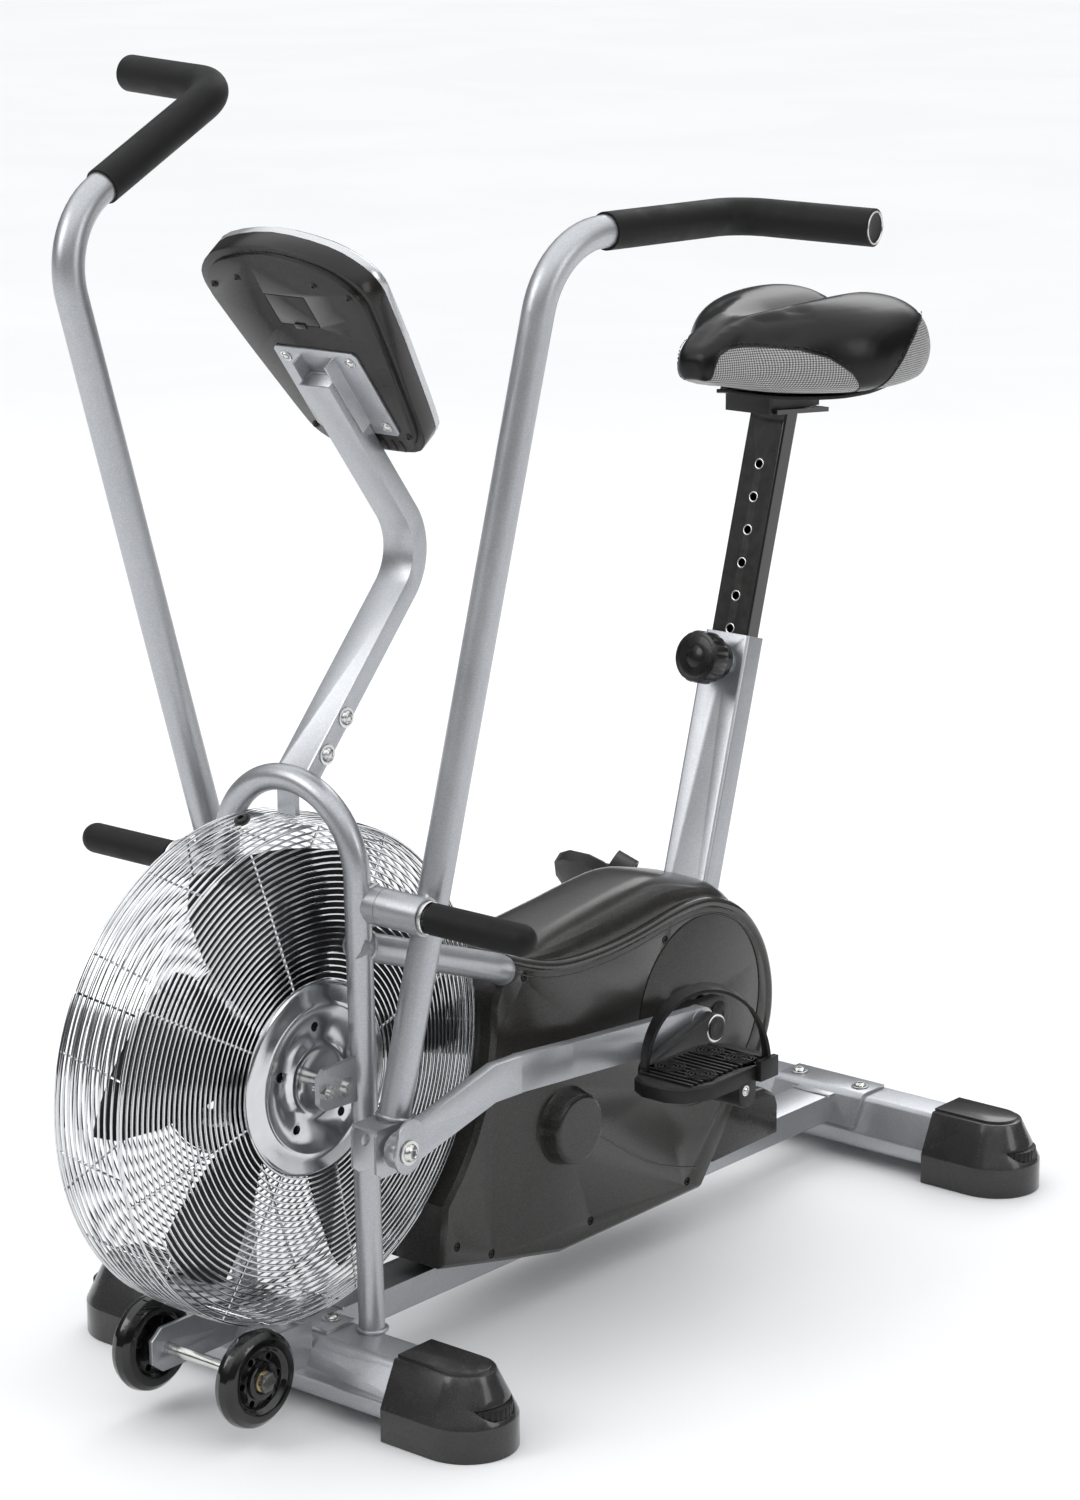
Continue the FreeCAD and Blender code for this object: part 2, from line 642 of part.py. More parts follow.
crank = crank_side()
parts["crank_left"] = crank
parts["crank_right"] = turned(mirror(crank), BB_Y, BB_Z, 180)

# ---------------------------------------------------------------- pedals and straps
PX0, PX1 = 154.0, 248.0
TOE, HEEL = 98.0, 60.0


def pedal():
    y, z = ped_yz
    n = 20.0
    pts = [(PX0, y - TOE + 40), (PX0 + 14, y - TOE + 10), (PX0 + 32, y - TOE), (PX1 - 32, y - TOE),
           (PX1 - 14, y - TOE + 10), (PX1, y - TOE + 40), (PX1, y + HEEL - 30), (PX1 - 10, y + HEEL - 8),
           (PX1 - 28, y + HEEL), (PX0 + 28, y + HEEL), (PX0 + 10, y + HEEL - 8), (PX0, y + HEEL - 30)]
    slab = prism_z(pts, z + 11, z + 27)
    slab = slab.makeChamfer(2.5, [e for e in slab.Edges if e.BoundBox.ZMin > z + 26])
    ribs = []
    count = 15
    for i in range(count):
        ry = y - TOE + 20 + i * (TOE + HEEL - 40) / (count - 1)
        ribs.append(box(PX0 + 12, PX1 - 12, ry - 1.6, ry + 1.6, z + 26, z + 29.5))
    boss = xcyl(PX0, PX1, y, z, 14)
    web = box(PX0, PX1, y - 14, y + 14, z, z + 12)
    body = slab.fuse(ribs + [boss, web])
    body = body.cut(xcyl(PX0 - 5, 246.5, y, z, 6 + FIT))
    return one(body)


def strap(high):
    """Toe strap over a level pedal, standing this high above its sole."""
    y, z = ped_yz
    p = V(PX0 + 8, y - 66, z + 27)
    q = V(PX1 - 4, y + 40, z + 27)
    d = q - p
    half = d.Length / 2
    d.normalize()
    n = V(0, 0, 1).cross(d)
    mid = (p + q) * 0.5
    wid = 26.0

    def arch(a, h, drop):
        ell = Part.Ellipse(mid + V(0, 0, h), mid + d * a, mid) if h > a else \
            Part.Ellipse(mid + d * a, mid + V(0, 0, h), mid)
        if h > a:
            curve = Part.ArcOfEllipse(ell, -math.pi / 2, math.pi / 2).toShape()
        else:
            curve = Part.ArcOfEllipse(ell, 0, math.pi).toShape()
        a0, a1 = curve.Vertexes[0].Point, curve.Vertexes[-1].Point
        dz = V(0, 0, -drop)
        e = [curve, Part.LineSegment(a1, a1 + dz).toShape(), Part.LineSegment(a1 + dz, a0 + dz).toShape(),
             Part.LineSegment(a0 + dz, a0).toShape()]
        face = Part.Face(Part.Wire(Part.__sortEdges__(e)))
        face.translate(n * (-wid / 2))
        return face.extrude(n * wid)

    loop = arch(half, high, 13.0).cut(arch(half - 3.2, high - 3.2, 14.0))
    return loop


ped = pedal()
y0, z0 = ped_yz


def strap_with_buckle(high):
    loop = strap(high).cut(ped)
    loop = max(loop.Solids, key=lambda s: s.Volume)
    buckle = box(PX1 - 0.01, PX1 + 6.5, y0 + 14, y0 + 44, z0 + 12, z0 + 34)
    return one(loop.fuse(buckle).cut(ped))


parts["pedal_left"] = ped
parts["strap_left"] = strap_with_buckle(86.0)
far_yz = (2 * BB_Y - ped_yz[0], 2 * BB_Z - ped_yz[1])


def far_side(shape):
    out = mirror(shape)
    out.translate(V(0, far_yz[0] - ped_yz[0], far_yz[1] - ped_yz[1]))
    out.rotate(V(0, far_yz[0], far_yz[1]), V(1, 0, 0), -PEDAL_TILT)
    return out


parts["pedal_right"] = far_side(parts["pedal_left"])
parts["strap_right"] = far_side(strap_with_buckle(48.0))

# ---------------------------------------------------------------- levers


def lever_pt(t):
    return V(LEVER_X + LEVER_OUT * t, PEG_Y + LEVER_OFF + LEVER_BACK * t, PEG_Z + t)


GRIP_A = V(201.6, 460.0, 1150.0)
GRIP_E = V(349.4, 482.0, 1145.6)
LEVER_TOP = lever_pt(634)
BR_X0, BR_X1 = 116.0, 149.5


def lever_frame():
    pts = [lever_pt(LEVER_LOW - 25), LEVER_TOP, GRIP_A, GRIP_E]
    outer = sweep(pts, [88, 42], LEVER_R)
    inner = sweep(pts, [88, 42], LEVER_R - LEVER_T)
    low = lever_pt(LEVER_LOW).z
    trim = box(0, 400, -200, 300, 0, low)
    outer = outer.cut(trim)
    sleeve = xcyl(115.0, 168.0, PEG_Y, PEG_Z, SLEEVE_R)
    cheek = [(-36, low - 44), (-36, low - 6), (-30, low), (26, low), (26, low - 10), (4, low - 44), (-8, low - 50),
             (-28, low - 50)]
    flange_a = prism_x(cheek, BR_X0, BR_X0 + 3)
    flange_b = prism_x(cheek, BR_X1 - 3, BR_X1)
    web = box(BR_X0, BR_X1, -34, 26, low - 3, low)
    body = outer.fuse([sleeve, flange_a, flange_b, web])
    body = body.cut(inner.cut(trim))
    body = body.cut(xcyl(110, 172, PEG_Y, PEG_Z, ROD_R + FIT))
    body = body.cut(xcyl(110, 160, CLEVIS_Y, CLEVIS_Z, 6.0))
    return one(max(body.Solids, key=lambda s: s.Volume))


def grip():
    d = (GRIP_A - LEVER_TOP).normalize()
    start = LEVER_TOP + d * 76
    pts = [start, GRIP_A, GRIP_E]
    foam = sweep(pts, [42], GRIP_R).cut(sweep([LEVER_TOP, GRIP_A, GRIP_E], [42], LEVER_R))
    e = (GRIP_E - GRIP_A).normalize()
    plug = Part.makeCylinder(GRIP_R, 2.5, GRIP_E, e)
    stem = Part.makeCylinder(LEVER_R - LEVER_T, 22.5, GRIP_E - e * 20, e)
    return one(foam.fuse([plug, stem]))


lever = lever_frame()
foam = grip()
parts["lever_left"] = lever
parts["grip_left"] = foam
for name, s in (("lever_right", lever), ("grip_right", foam)):
    parts[name] = turned(mirror(s), PEG_Y, PEG_Z, ARM_ANGLE)

# ---------------------------------------------------------------- link bars
LINK_T = 12.0
LINK_PLAN = [(166.0, CLEVIS_Y), (166.0, 153.0), (104.0, 308.0), (101.0, pin_yz[0])]
LINK_SIDE = [(CLEVIS_Y, CLEVIS_Z), (115.0, 325.0), (156.0, 324.0), (308.0, 285.0), (pin_yz[0], pin_yz[1])]


def band(pts, half, vertical):
    """Closed strip of the given half width round a polyline of 2-D points."""
    up, down = [], []
    n = len(pts)
    for i in range(n):
        a = pts[max(i - 1, 0)]
        b = pts[min(i + 1, n - 1)]
        dx, dy = b[0] - a[0], b[1] - a[1]
        ln = math.hypot(dx, dy)
        if vertical:
            up.append((pts[i][0], pts[i][1] + half))
            down.append((pts[i][0], pts[i][1] - half))
        else:
            up.append((pts[i][0] - dy / ln * half, pts[i][1] + dx / ln * half))
            down.append((pts[i][0] + dy / ln * half, pts[i][1] - dx / ln * half))
    return up + down[::-1]


def link_bar():
    plan = prism_z(band(LINK_PLAN, LINK_T / 2, False), 200, 400)
    side_view = prism_x(band(LINK_SIDE, 19.0, True), 60, 200)
    bar = plan.common(side_view)
    eye = xcyl(94, 108, pin_yz[0], pin_yz[1], 19.5)
    nose_end = xcyl(160, 172, CLEVIS_Y, CLEVIS_Z, 18.6)
    cheek = bar_slot(172, 175, (CLEVIS_Y, CLEVIS_Z - 4), (CLEVIS_Y + 4, CLEVIS_Z + 14), 18, 18)
    body = bar.fuse([eye, nose_end, cheek])
    body = body.cut(xcyl(90, 115, pin_yz[0], pin_yz[1], 8 + FIT))
    body = body.cut(xcyl(150, 180, CLEVIS_Y, CLEVIS_Z, 6.0))
    return one(body.fuse(clevis_bolt()))


def clevis_bolt():
    shank = xcyl(152.6, 176, CLEVIS_Y, CLEVIS_Z, 6.0)
    washer = xcyl(152.6, 160, CLEVIS_Y, CLEVIS_Z, 11.0)
    head = dome_bolt(V(175, CLEVIS_Y, CLEVIS_Z), V(1, 0, 0), 11.0, 7.0)
    socket = xcyl(179, 184, CLEVIS_Y, CLEVIS_Z, 3.2)
    return one(shank.fuse([washer, head]).cut(socket))


far_pin = (2 * BB_Y - pin_yz[0], 2 * BB_Z - pin_yz[1])
arm_a = math.radians(ARM_ANGLE)
cy, cz = CLEVIS_Y - PEG_Y, CLEVIS_Z - PEG_Z
far_clevis = (PEG_Y + math.cos(arm_a) * cy - math.sin(arm_a) * cz, PEG_Z + math.sin(arm_a) * cy + math.cos(arm_a) * cz)
near_dir = math.atan2(pin_yz[1] - CLEVIS_Z, pin_yz[0] - CLEVIS_Y)
far_dir = math.atan2(far_pin[1] - far_clevis[1], far_pin[0] - far_clevis[0])
LINK_SWING = math.degrees(far_dir - near_dir)


def far_link(shape):
    out = mirror(shape)
    out.translate(V(0, far_pin[0] - pin_yz[0], far_pin[1] - pin_yz[1]))
    out.rotate(V(0, far_pin[0], far_pin[1]), V(1, 0, 0), LINK_SWING)
    return out


parts["link_left"] = link_bar()
parts["link_right"] = far_link(parts["link_left"])

# ---------------------------------------------------------------- fan rotor


def blade():
    """Wide pitched paddle with a bowed leading edge, trimmed to the tip circle."""
    outline = [(-20, 46), (-52, 80), (-78, 124), (-93, 172), (-88, 226), (94, 226), (90, 180), (62, 118), (38, 80),
               (22, 46)]
    face = Part.Face(Part.makePolygon([V(s, 0, r) for s, r in outline + [outline[0]]]))
    b = face.extrude(V(0, 2.5, 0))
    b.rotate(V(0, 0, 0), V(0, 0, 1), 90 - BLADE_PITCH)
    return b.common(xcyl(-60, 60, 0, 0, BLADE_TIP))


def rotor():
    hub = xcyl(-24, 34, 0, 0, 26)
    disc = xcyl(4, 8, 0, 0, 78)
    body = hub.fuse(disc)
    blades = []
    for i in range(BLADES):
        b = blade()
        b.translate(V(8, 0, 0))
        b.rotate(V(0, 0, 0), V(1, 0, 0), 360.0 * i / BLADES)
        blades.append(b)
    body = body.fuse(blades)
    body.translate(V(0, FAN_Y, FAN_Z))
    pulley = grooved(B2X0, B2X1, FAN_Y, FAN_Z, FAN_PULLEY_R).fuse(xcyl(B2X1, -23, FAN_Y, FAN_Z, 20))
    body = body.fuse(pulley)
    return one(body.cut(xcyl(-60, 60, FAN_Y, FAN_Z, 6 + FIT)))


parts["fan_rotor"] = rotor()
parts["fan_axle"] = xcyl(-104, 104, FAN_Y, FAN_Z, 6.0)
nuts = []
for s in (1, -1):
    for x0, x1, ac in ((91, 99, 19), (78, 85, 19)):
        nuts.append(hexnut(min(s * x0, s * x1), max(s * x0, s * x1), FAN_Y, FAN_Z, ac))
nuts = [n.cut(parts["fan_axle"]) for n in nuts]
for s in (1, -1):
    tens = xcyl(min(s * 76, s * 100), max(s * 76, s * 100), -44, FAN_Z, 3.0)
    cap_n = hexnut(min(s * 91, s * 97), max(s * 91, s * 97), -44, FAN_Z, 13)
    nuts.append(tens.fuse(cap_n))
parts["axle_nuts"] = group(nuts)

# ---------------------------------------------------------------- fan guard


def cone_x(r):
    return CAGE_HALF + (HUB_X - CAGE_HALF) * (CAGE_R - r) / (CAGE_R - HUB_R)


BELT_WINDOW = box(-47, -22, FAN_Y + 120, FAN_Y + 300, 170, 320)


def grille():
    bits = []
    for i in range(RINGS):
        r = HUB_R + 6 + (CAGE_R - 4 - HUB_R - 6) * i / (RINGS - 1)
        x = cone_x(r)
        bits.append(xcyl(x - 1.5, x + 1.5, 0, 0, r + 1.6).cut(xcyl(x - 2, x + 2, 0, 0, r - 1.6)))
    for i in range(SPOKES):
        pts = [V(cone_x(HUB_R - 10) - 1.6, -1.6, HUB_R - 10), V(cone_x(HUB_R - 10) + 1.0, -1.6, HUB_R - 10),
               V(cone_x(CAGE_R - 2.5) + 1.0, -1.6, CAGE_R - 2.5), V(cone_x(CAGE_R - 2.5) - 1.6, -1.6, CAGE_R - 2.5)]
        bar = Part.Face(Part.makePolygon(pts + [pts[0]])).extrude(V(0, 3.2, 0))
        bar.rotate(V(0, 0, 0), V(1, 0, 0), 360.0 * i / SPOKES + 18)
        bits.append(bar)
    body = bits[0].fuse(bits[1:])
    body.translate(V(0, FAN_Y, FAN_Z))
    return body


def hub_plate():
    pts = [(6.0, HUB_X - 1.0), (28, HUB_X - 1.0), (31, HUB_X + 3), (38, HUB_X + 3), (41, HUB_X), (70, HUB_X),
           (74, HUB_X + 4), (79, HUB_X + 4), (82, HUB_X), (HUB_R, HUB_X)]
    ring = [V(x + 1.6, 0, r) for r, x in pts] + [V(x + 3.2, 0, r) for r, x in reversed(pts)]
    body = Part.Face(Part.makePolygon(ring + [ring[0]])).revolve(V(0, 0, 0), V(1, 0, 0), 360)
    for i in range(5):
        a = math.radians(72 * i + 20)
        body = body.cut(xcyl(50, 80, 55 * math.cos(a), 55 * math.sin(a), 5))
    body.translate(V(0, FAN_Y, FAN_Z))
    return body


def rim():
    bits = []
    for i in range(7):
        x = -CAGE_HALF + 2 + (2 * CAGE_HALF - 4) * i / 6
        bits.append(xcyl(x - 1.5, x + 1.5, 0, 0, CAGE_R).cut(xcyl(x - 2, x + 2, 0, 0, CAGE_R - 2.8)))
    for i in range(20):
        bar = box(-CAGE_HALF + 1, CAGE_HALF - 1, -1.6, 1.6, CAGE_R - 4.4, CAGE_R - 1.4)
        bar.rotate(V(0, 0, 0), V(1, 0, 0), 18.0 * i + 9)
        bits.append(bar)
    body = bits[0].fuse(bits[1:])
    body.translate(V(0, FAN_Y, FAN_Z))
    return body.cut(BELT_WINDOW)


plate = hub_plate()
rim_body = rim()
parts["cage_rim"] = one(max(rim_body.Solids, key=lambda s: s.Volume))
wires = grille()
left_wires = wires.fuse(plate).cut(rim_body)
right_wires = mirror(wires).fuse(mirror(plate)).cut([rim_body, BELT_WINDOW])
parts["cage_left"] = one(max(left_wires.Solids, key=lambda s: s.Volume))
parts["cage_right"] = one(max(right_wires.Solids, key=lambda s: s.Volume))

# ---------------------------------------------------------------- covers
RIM_PTS = [(262, 400), (299, 385), (348, 373), (414, 371), (481, 377), (533, 386), (580, 389), (613, 383), (658, 362),
           (690, 326), (706, 288), (711, 251), (704, 214), (686, 180)]
RIM_PTS = flowing(RIM_PTS, 3, False)
LOW_PTS = [(645, 128), (625, 98), (588, 52), (345, 50), (264, 66), (152, 90)]
COVER_ARC = CAGE_R + 6.5
for i in range(7):
    ang = math.radians(-46 + 8 * i)
    LOW_PTS.append((FAN_Y + COVER_ARC * math.cos(ang), FAN_Z + COVER_ARC * math.sin(ang)))
SHELL_X = 64.0


def shell_face(inset, x):
    """Side outline of the cover, moved inwards by inset."""
    pts = RIM_PTS + LOW_PTS
    wire = Part.makePolygon([V(x, p[0], p[1]) for p in pts] + [V(x, pts[0][0], pts[0][1])])
    face = Part.Face(wire)
    if inset:
        face = Part.Face(face.makeOffset2D(-inset, 2).Wires[0])
    return face


TUBE_CLEAR = seat_bar(30.5, 15.5, -640, 5, 4)


def top_hat(grow):
    stations = [
        # y, rim half width, rim z, shoulder half width, shoulder z, crest z
        (270, 52, 392, 40, 394, 396),
        (310, 58, 378, 46, 391, 396),
        (355, 60, 369, 47, 398, 403),
        (420, 60, 367, 46, 405, 411),
        (480, 60, 373, 45, 413, 418),
        (530, 60, 381, 45, 416, 420),
        (580, 59, 384, 44, 404, 409),
        (630, 56, 372, 40, 388, 393),
        (665, 48, 350, 34, 364, 368),
    ]
    wires = []
    for y, wr, zr, ws, zs, zc in flowing(stations, 3, False):
        low = zr - (6 if not grow else 8)
        pts = [V(-wr + grow, y, low)]
        for i in range(17):
            t = math.pi * i / 16
            c, s = math.cos(t), math.sin(t)
            x = -(wr - grow) * math.copysign(abs(c) ** 0.62, c)
            pts.append(V(x, y, zr - grow + (zc - zr) * abs(s) ** 0.85))
        pts.append(V(wr - grow, y, low))
        wires.append(Part.makePolygon(pts + [pts[0]]))
    return Part.makeLoft(wires, True, True)


def cover_side():
    outer = shell_face(0, 0.25).extrude(V(SHELL_X - 0.25, 0, 0))
    rim_edges = [e for e in outer.Edges if e.BoundBox.XMin > SHELL_X - 0.1]
    outer = outer.makeChamfer(5.0, rim_edges)
    inner = shell_face(WALL, -1).extrude(V(SHELL_X - WALL + 1, 0, 0))
    boss = Part.makeCone(43, 37, 23, V(SHELL_X - 1, JACK_Y, JACK_Z), V(1, 0, 0))
    boss = boss.makeFillet(6.0, [e for e in boss.Edges if e.BoundBox.XMin > SHELL_X + 21.9])
    hollow = Part.makeCone(40, 34, 20, V(SHELL_X - 1.5, JACK_Y, JACK_Z), V(1, 0, 0))
    body = outer.cut(inner).fuse(boss)
    body = body.cut(xcyl(SHELL_X - 4, SHELL_X - 1, JACK_Y, JACK_Z, 40).fuse(hollow))
    groove = xcyl(SHELL_X - 1.2, SHELL_X + 1, BB_Y, BB_Z, 108.5).cut(xcyl(SHELL_X - 2, SHELL_X + 2, BB_Y, BB_Z, 106))
    body = body.cut(groove)
    body = body.cut(xcyl(50, 80, BB_Y, BB_Z, 16))
    body = body.cut(box(-1, BEAM_W / 2 + 0.5, 100, 720, 0, BEAM_Z1 + 0.5))
    return body


beam_slot = box(-BEAM_W / 2 - 0.5, BEAM_W / 2 + 0.5, 600, 900, 0, BEAM_Z1 + 0.3)
rear_pts = [(642, 60), (642, 118), (655, 127), (740, 122), (758, 112), (764, 96), (764, 62)]
rear_cover = prism_x(rear_pts, -36, 36)
rear_cover = rear_cover.makeFillet(5.0, [e for e in rear_cover.Edges if e.BoundBox.ZMin > 100])
rear_cover = rear_cover.cut(prism_x([(645, 50), (645, 115), (656, 124), (739, 119), (755, 110), (761, 95), (761, 50)],
                                    -33, 33))
rear_cover = rear_cover.cut(beam_slot)
cover_cut = [brace_full, TUBE_CLEAR]
screws_yz = [(520, 356), (285, 372), (392, 72), (560, 68), (176, 108), (230, 84)]
shell = cover_side()
screw_list = []
for y, z in screws_yz:
    shell = shell.cut(xcyl(SHELL_X - 2.0, SHELL_X + 5, y, z, 5.0))
    screw_list.append(xcyl(SHELL_X - 2.0, SHELL_X - 0.4, y, z, 4.6))
hat = top_hat(0).cut(top_hat(3.0))
left = shell.cut(cover_cut)
right = mirror(shell).cut([mirror(brace_full), TUBE_CLEAR, box(-46, -22, 180, 300, 170, 320)])
left = max(left.Solids, key=lambda s: s.Volume)
right = max(right.Solids, key=lambda s: s.Volume)
parts["cover_left"] = one(left)
parts["cover_right"] = one(right)
solid_shell = shell_face(0, -SHELL_X).extrude(V(2 * SHELL_X, 0, 0))
hat = hat.cut([solid_shell, TUBE_CLEAR, brace_full, mirror(brace_full)])
parts["cover_top"] = one(max(hat.Solids, key=lambda s: s.Volume))
rear_cover = rear_cover.cut(solid_shell)
parts["cover_rear"] = one(max(rear_cover.Solids, key=lambda s: s.Volume))
parts["cover_screws"] = group(screw_list + [mirror(s) for s in screw_list])

# ---------------------------------------------------------------- console
mast_pts = [V(0, 14, 622), V(0, 201.1, 830), V(0, 64.5, 1014)]


def mast_bar(hx, ht, extend):
    path = rounded_path([V(0, p.y, p.z) for p in mast_pts], [62])
    d = (mast_pts[1] - mast_pts[0]).normalize()
    n = V(0, d.z, -d.y)
    o = mast_pts[0] - d * 0
    c = [o + V(-hx, 0, 0) + n * -ht, o + V(hx, 0, 0) + n * -ht, o + V(hx, 0, 0) + n * ht, o + V(-hx, 0, 0) + n * ht]
    ring = Part.makePolygon(c + [c[0]])
    return path.makePipeShell([ring], True, False, 1)


mast_full = mast_bar(MAST_W / 2, MAST_T / 2, 0)
mast = mast_full.cut(mast_bar(MAST_W / 2 - 2, MAST_T / 2 - 2, 0))
mast = mast.cut(hoop(LEG_R)).cut(box(-100, 100, -100, leg_y(631) + 4, 500, 660))
parts["console_mast"] = one(max(mast.Solids, key=lambda s: s.Volume))
N = V(0, 0.803, 0.596).normalize()
W = V(0, -N.z, N.y)
CON_O = V(0, CON_Y, CON_Z)


def con_prism(pts, n0, n1):
    """Outline of (x, up the console) points, extruded along the console normal."""
    corners = [CON_O + V(p[0], 0, 0) + W * p[1] + N * n0 for p in pts]
    return Part.Face(Part.makePolygon(corners + [corners[0]])).extrude(N * (n1 - n0))


def con_cyl(x, w, n0, n1, r):
    return Part.makeCylinder(r, n1 - n0, CON_O + V(x, 0, 0) + W * w + N * n0, N)


plate_pts = [(-54, -50), (-50, -54), (50, -54), (54, -50), (54, 50), (50, 54), (-50, 54), (-54, 50)]
bracket = con_prism(plate_pts, 0.0, 2.5)
ear = con_prism([(20, -40), (22.5, -40), (22.5, 46), (20, 46)], -14, 0.2)
bracket = bracket.fuse([ear, mirror(ear)]).cut(mast_full)
parts["console_bracket"] = one(max(bracket.Solids, key=lambda s: s.Volume))
HALF = [(0, -86), (50, -84), (70, -70), (78, -48), (88, 0), (98, 50), (106, 100), (108, 124), (98, 146), (66, 168),
        (0, 180)]


def con_outline(inset):
    pts = []
    for x, w in HALF:
        k = 1 - inset / 108.0
        pts.append((x * k, (w - 47) * (1 - inset / 133.0) + 47))
    return flowing(pts + [(-p[0], p[1]) for p in reversed(pts[1:-1])], 3, True)


back = con_prism(con_outline(8), 2.5, 8).fuse(con_prism(con_outline(0), 8, 28))
back = back.cut(con_prism(con_outline(3), 11, 28.5))
batt = [(-26, 84), (26, 84), (26, 122), (-26, 122)]
back = back.cut(con_prism(batt, 2.0, 4.5))
parts["console_back"] = one(back)
parts["battery_door"] = con_prism([(-25.6, 84.4), (25.6, 84.4), (25.6, 121.6), (-25.6, 121.6)], 2.6, 4.5)
front = con_prism(con_outline(0), 28, 38)
front = front.makeChamfer(3.0, [e for e in front.Edges if all(abs((v.Point - CON_O).dot(N) - 38) < 0.01
                                                            for v in e.Vertexes)])
front = front.cut(con_prism(con_outline(3), 27, 35))
win = [(-62, 30), (62, 30), (66, 112), (-66, 112)]
front = front.cut(con_prism(win, 34, 40))
BTN = [(-34.0, -26.0), (34.0, -26.0)]
for x, w in BTN:
    front = front.cut(con_cyl(x, w, 30, 42, 11.0 + 0.4))
parts["console_front"] = one(front)
parts["console_window"] = con_prism([(-61.8, 30.2), (61.8, 30.2), (65.8, 111.8), (-65.8, 111.8)], 34.8, 37)
for name, (x, w) in zip(("button_mode", "button_reset"), BTN):
    cap_b = con_cyl(x, w, 30.0, 39.5, 11.0).fuse(con_cyl(x, w, 30.0, 34.6, 13.5))
    cap_b = cap_b.fuse(con_cyl(x, w, 23.6, 31.0, 4.0))
    parts[name] = one(cap_b)

fasteners = []
for y, z in ((43, 650), (71, 682)):
    for s in (1, -1):
        fasteners.append(dome_bolt(V(s * MAST_W / 2, y, z), V(s, 0, 0), 8.0, 5.0))
for x in (42, -42):
    for w in (42, -42):
        fasteners.append(dome_bolt(CON_O + V(x, 0, 0) + W * w, N * -1, 5.0, 2.6))
parts["console_fasteners"] = group(fasteners)

# ---------------------------------------------------------------- place on the floor centre and export
lo = min(s.BoundBox.YMin for s in parts.values())
hi = max(s.BoundBox.YMax for s in parts.values())
SHIFT_Y = -(lo + hi) / 2
for name in sorted(parts):
    shape = parts[name]
    shape.translate(V(0, SHIFT_Y, 0))
    shape.exportStep("parts/%s.step" % name)
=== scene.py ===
import json
import logging
import math
from dataclasses import dataclass, field
from enum import Enum

import bmesh
import bpy
from mathutils import Matrix, Vector
from mathutils.bvhtree import BVHTree


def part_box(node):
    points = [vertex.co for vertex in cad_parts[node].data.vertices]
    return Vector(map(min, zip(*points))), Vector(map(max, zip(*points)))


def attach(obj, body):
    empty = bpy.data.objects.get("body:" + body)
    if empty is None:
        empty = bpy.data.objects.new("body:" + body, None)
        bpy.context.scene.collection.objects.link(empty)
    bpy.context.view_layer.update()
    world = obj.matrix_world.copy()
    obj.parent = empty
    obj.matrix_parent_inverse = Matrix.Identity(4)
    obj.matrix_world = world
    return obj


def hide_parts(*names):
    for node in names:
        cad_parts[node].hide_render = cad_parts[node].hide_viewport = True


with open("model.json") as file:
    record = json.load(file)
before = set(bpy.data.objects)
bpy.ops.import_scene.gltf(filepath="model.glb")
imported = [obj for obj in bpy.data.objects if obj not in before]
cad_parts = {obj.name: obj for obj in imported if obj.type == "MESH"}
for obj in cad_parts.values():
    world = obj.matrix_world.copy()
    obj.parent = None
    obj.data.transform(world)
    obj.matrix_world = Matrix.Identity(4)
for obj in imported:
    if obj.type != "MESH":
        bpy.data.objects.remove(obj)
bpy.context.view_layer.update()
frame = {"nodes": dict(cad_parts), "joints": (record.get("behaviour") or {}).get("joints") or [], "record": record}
LOG = logging.getLogger("air_bike")
Point = tuple[float, float, float]
Object = bpy.types.Object
Material = bpy.types.Material

REAR_LOW, REAR_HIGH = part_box("rear_stabilizer")
SHIFT = (REAR_LOW.y + REAR_HIGH.y) / 2 - 0.9218


def mm(x: float, y: float, z: float) -> Vector:
    """Point given in millimetres from the front stabilizer's centre on the floor.

    Args:
        x: distance to the rider's left.
        y: distance to the rear of the front stabilizer.
        z: height above the floor.

    Returns:
        The point in the row frame, in metres.
    """
    return Vector((x / 1000, y / 1000 + SHIFT, z / 1000))


def centre(node: str) -> Vector:
    """Middle of a CAD node's box."""
    low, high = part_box(node)
    return (low + high) / 2


PEG = (21.2, 517.3)        # foot-peg axis: back and up, in millimetres
SEAT_FOOT = mm(0, 724, 645)
SEAT_BACK = Vector((0, 0.96029, -0.27899))
SEAT_UP = Vector((0, 0.27899, 0.96029))
LOCK_DROP = -27.2          # lock hole below SEAT_FOOT, in millimetres
HOLE_PITCH = 36.94


# ------------------------------------------------------------------ shared surface effects


class Effect(Enum):
    """Surface effects that several finishes use."""

    GRAIN = "moulded_grain"
    FLAKE = "metal_flake"
    WEAR = "edge_wear"
    SMUDGE = "handling_smudge"


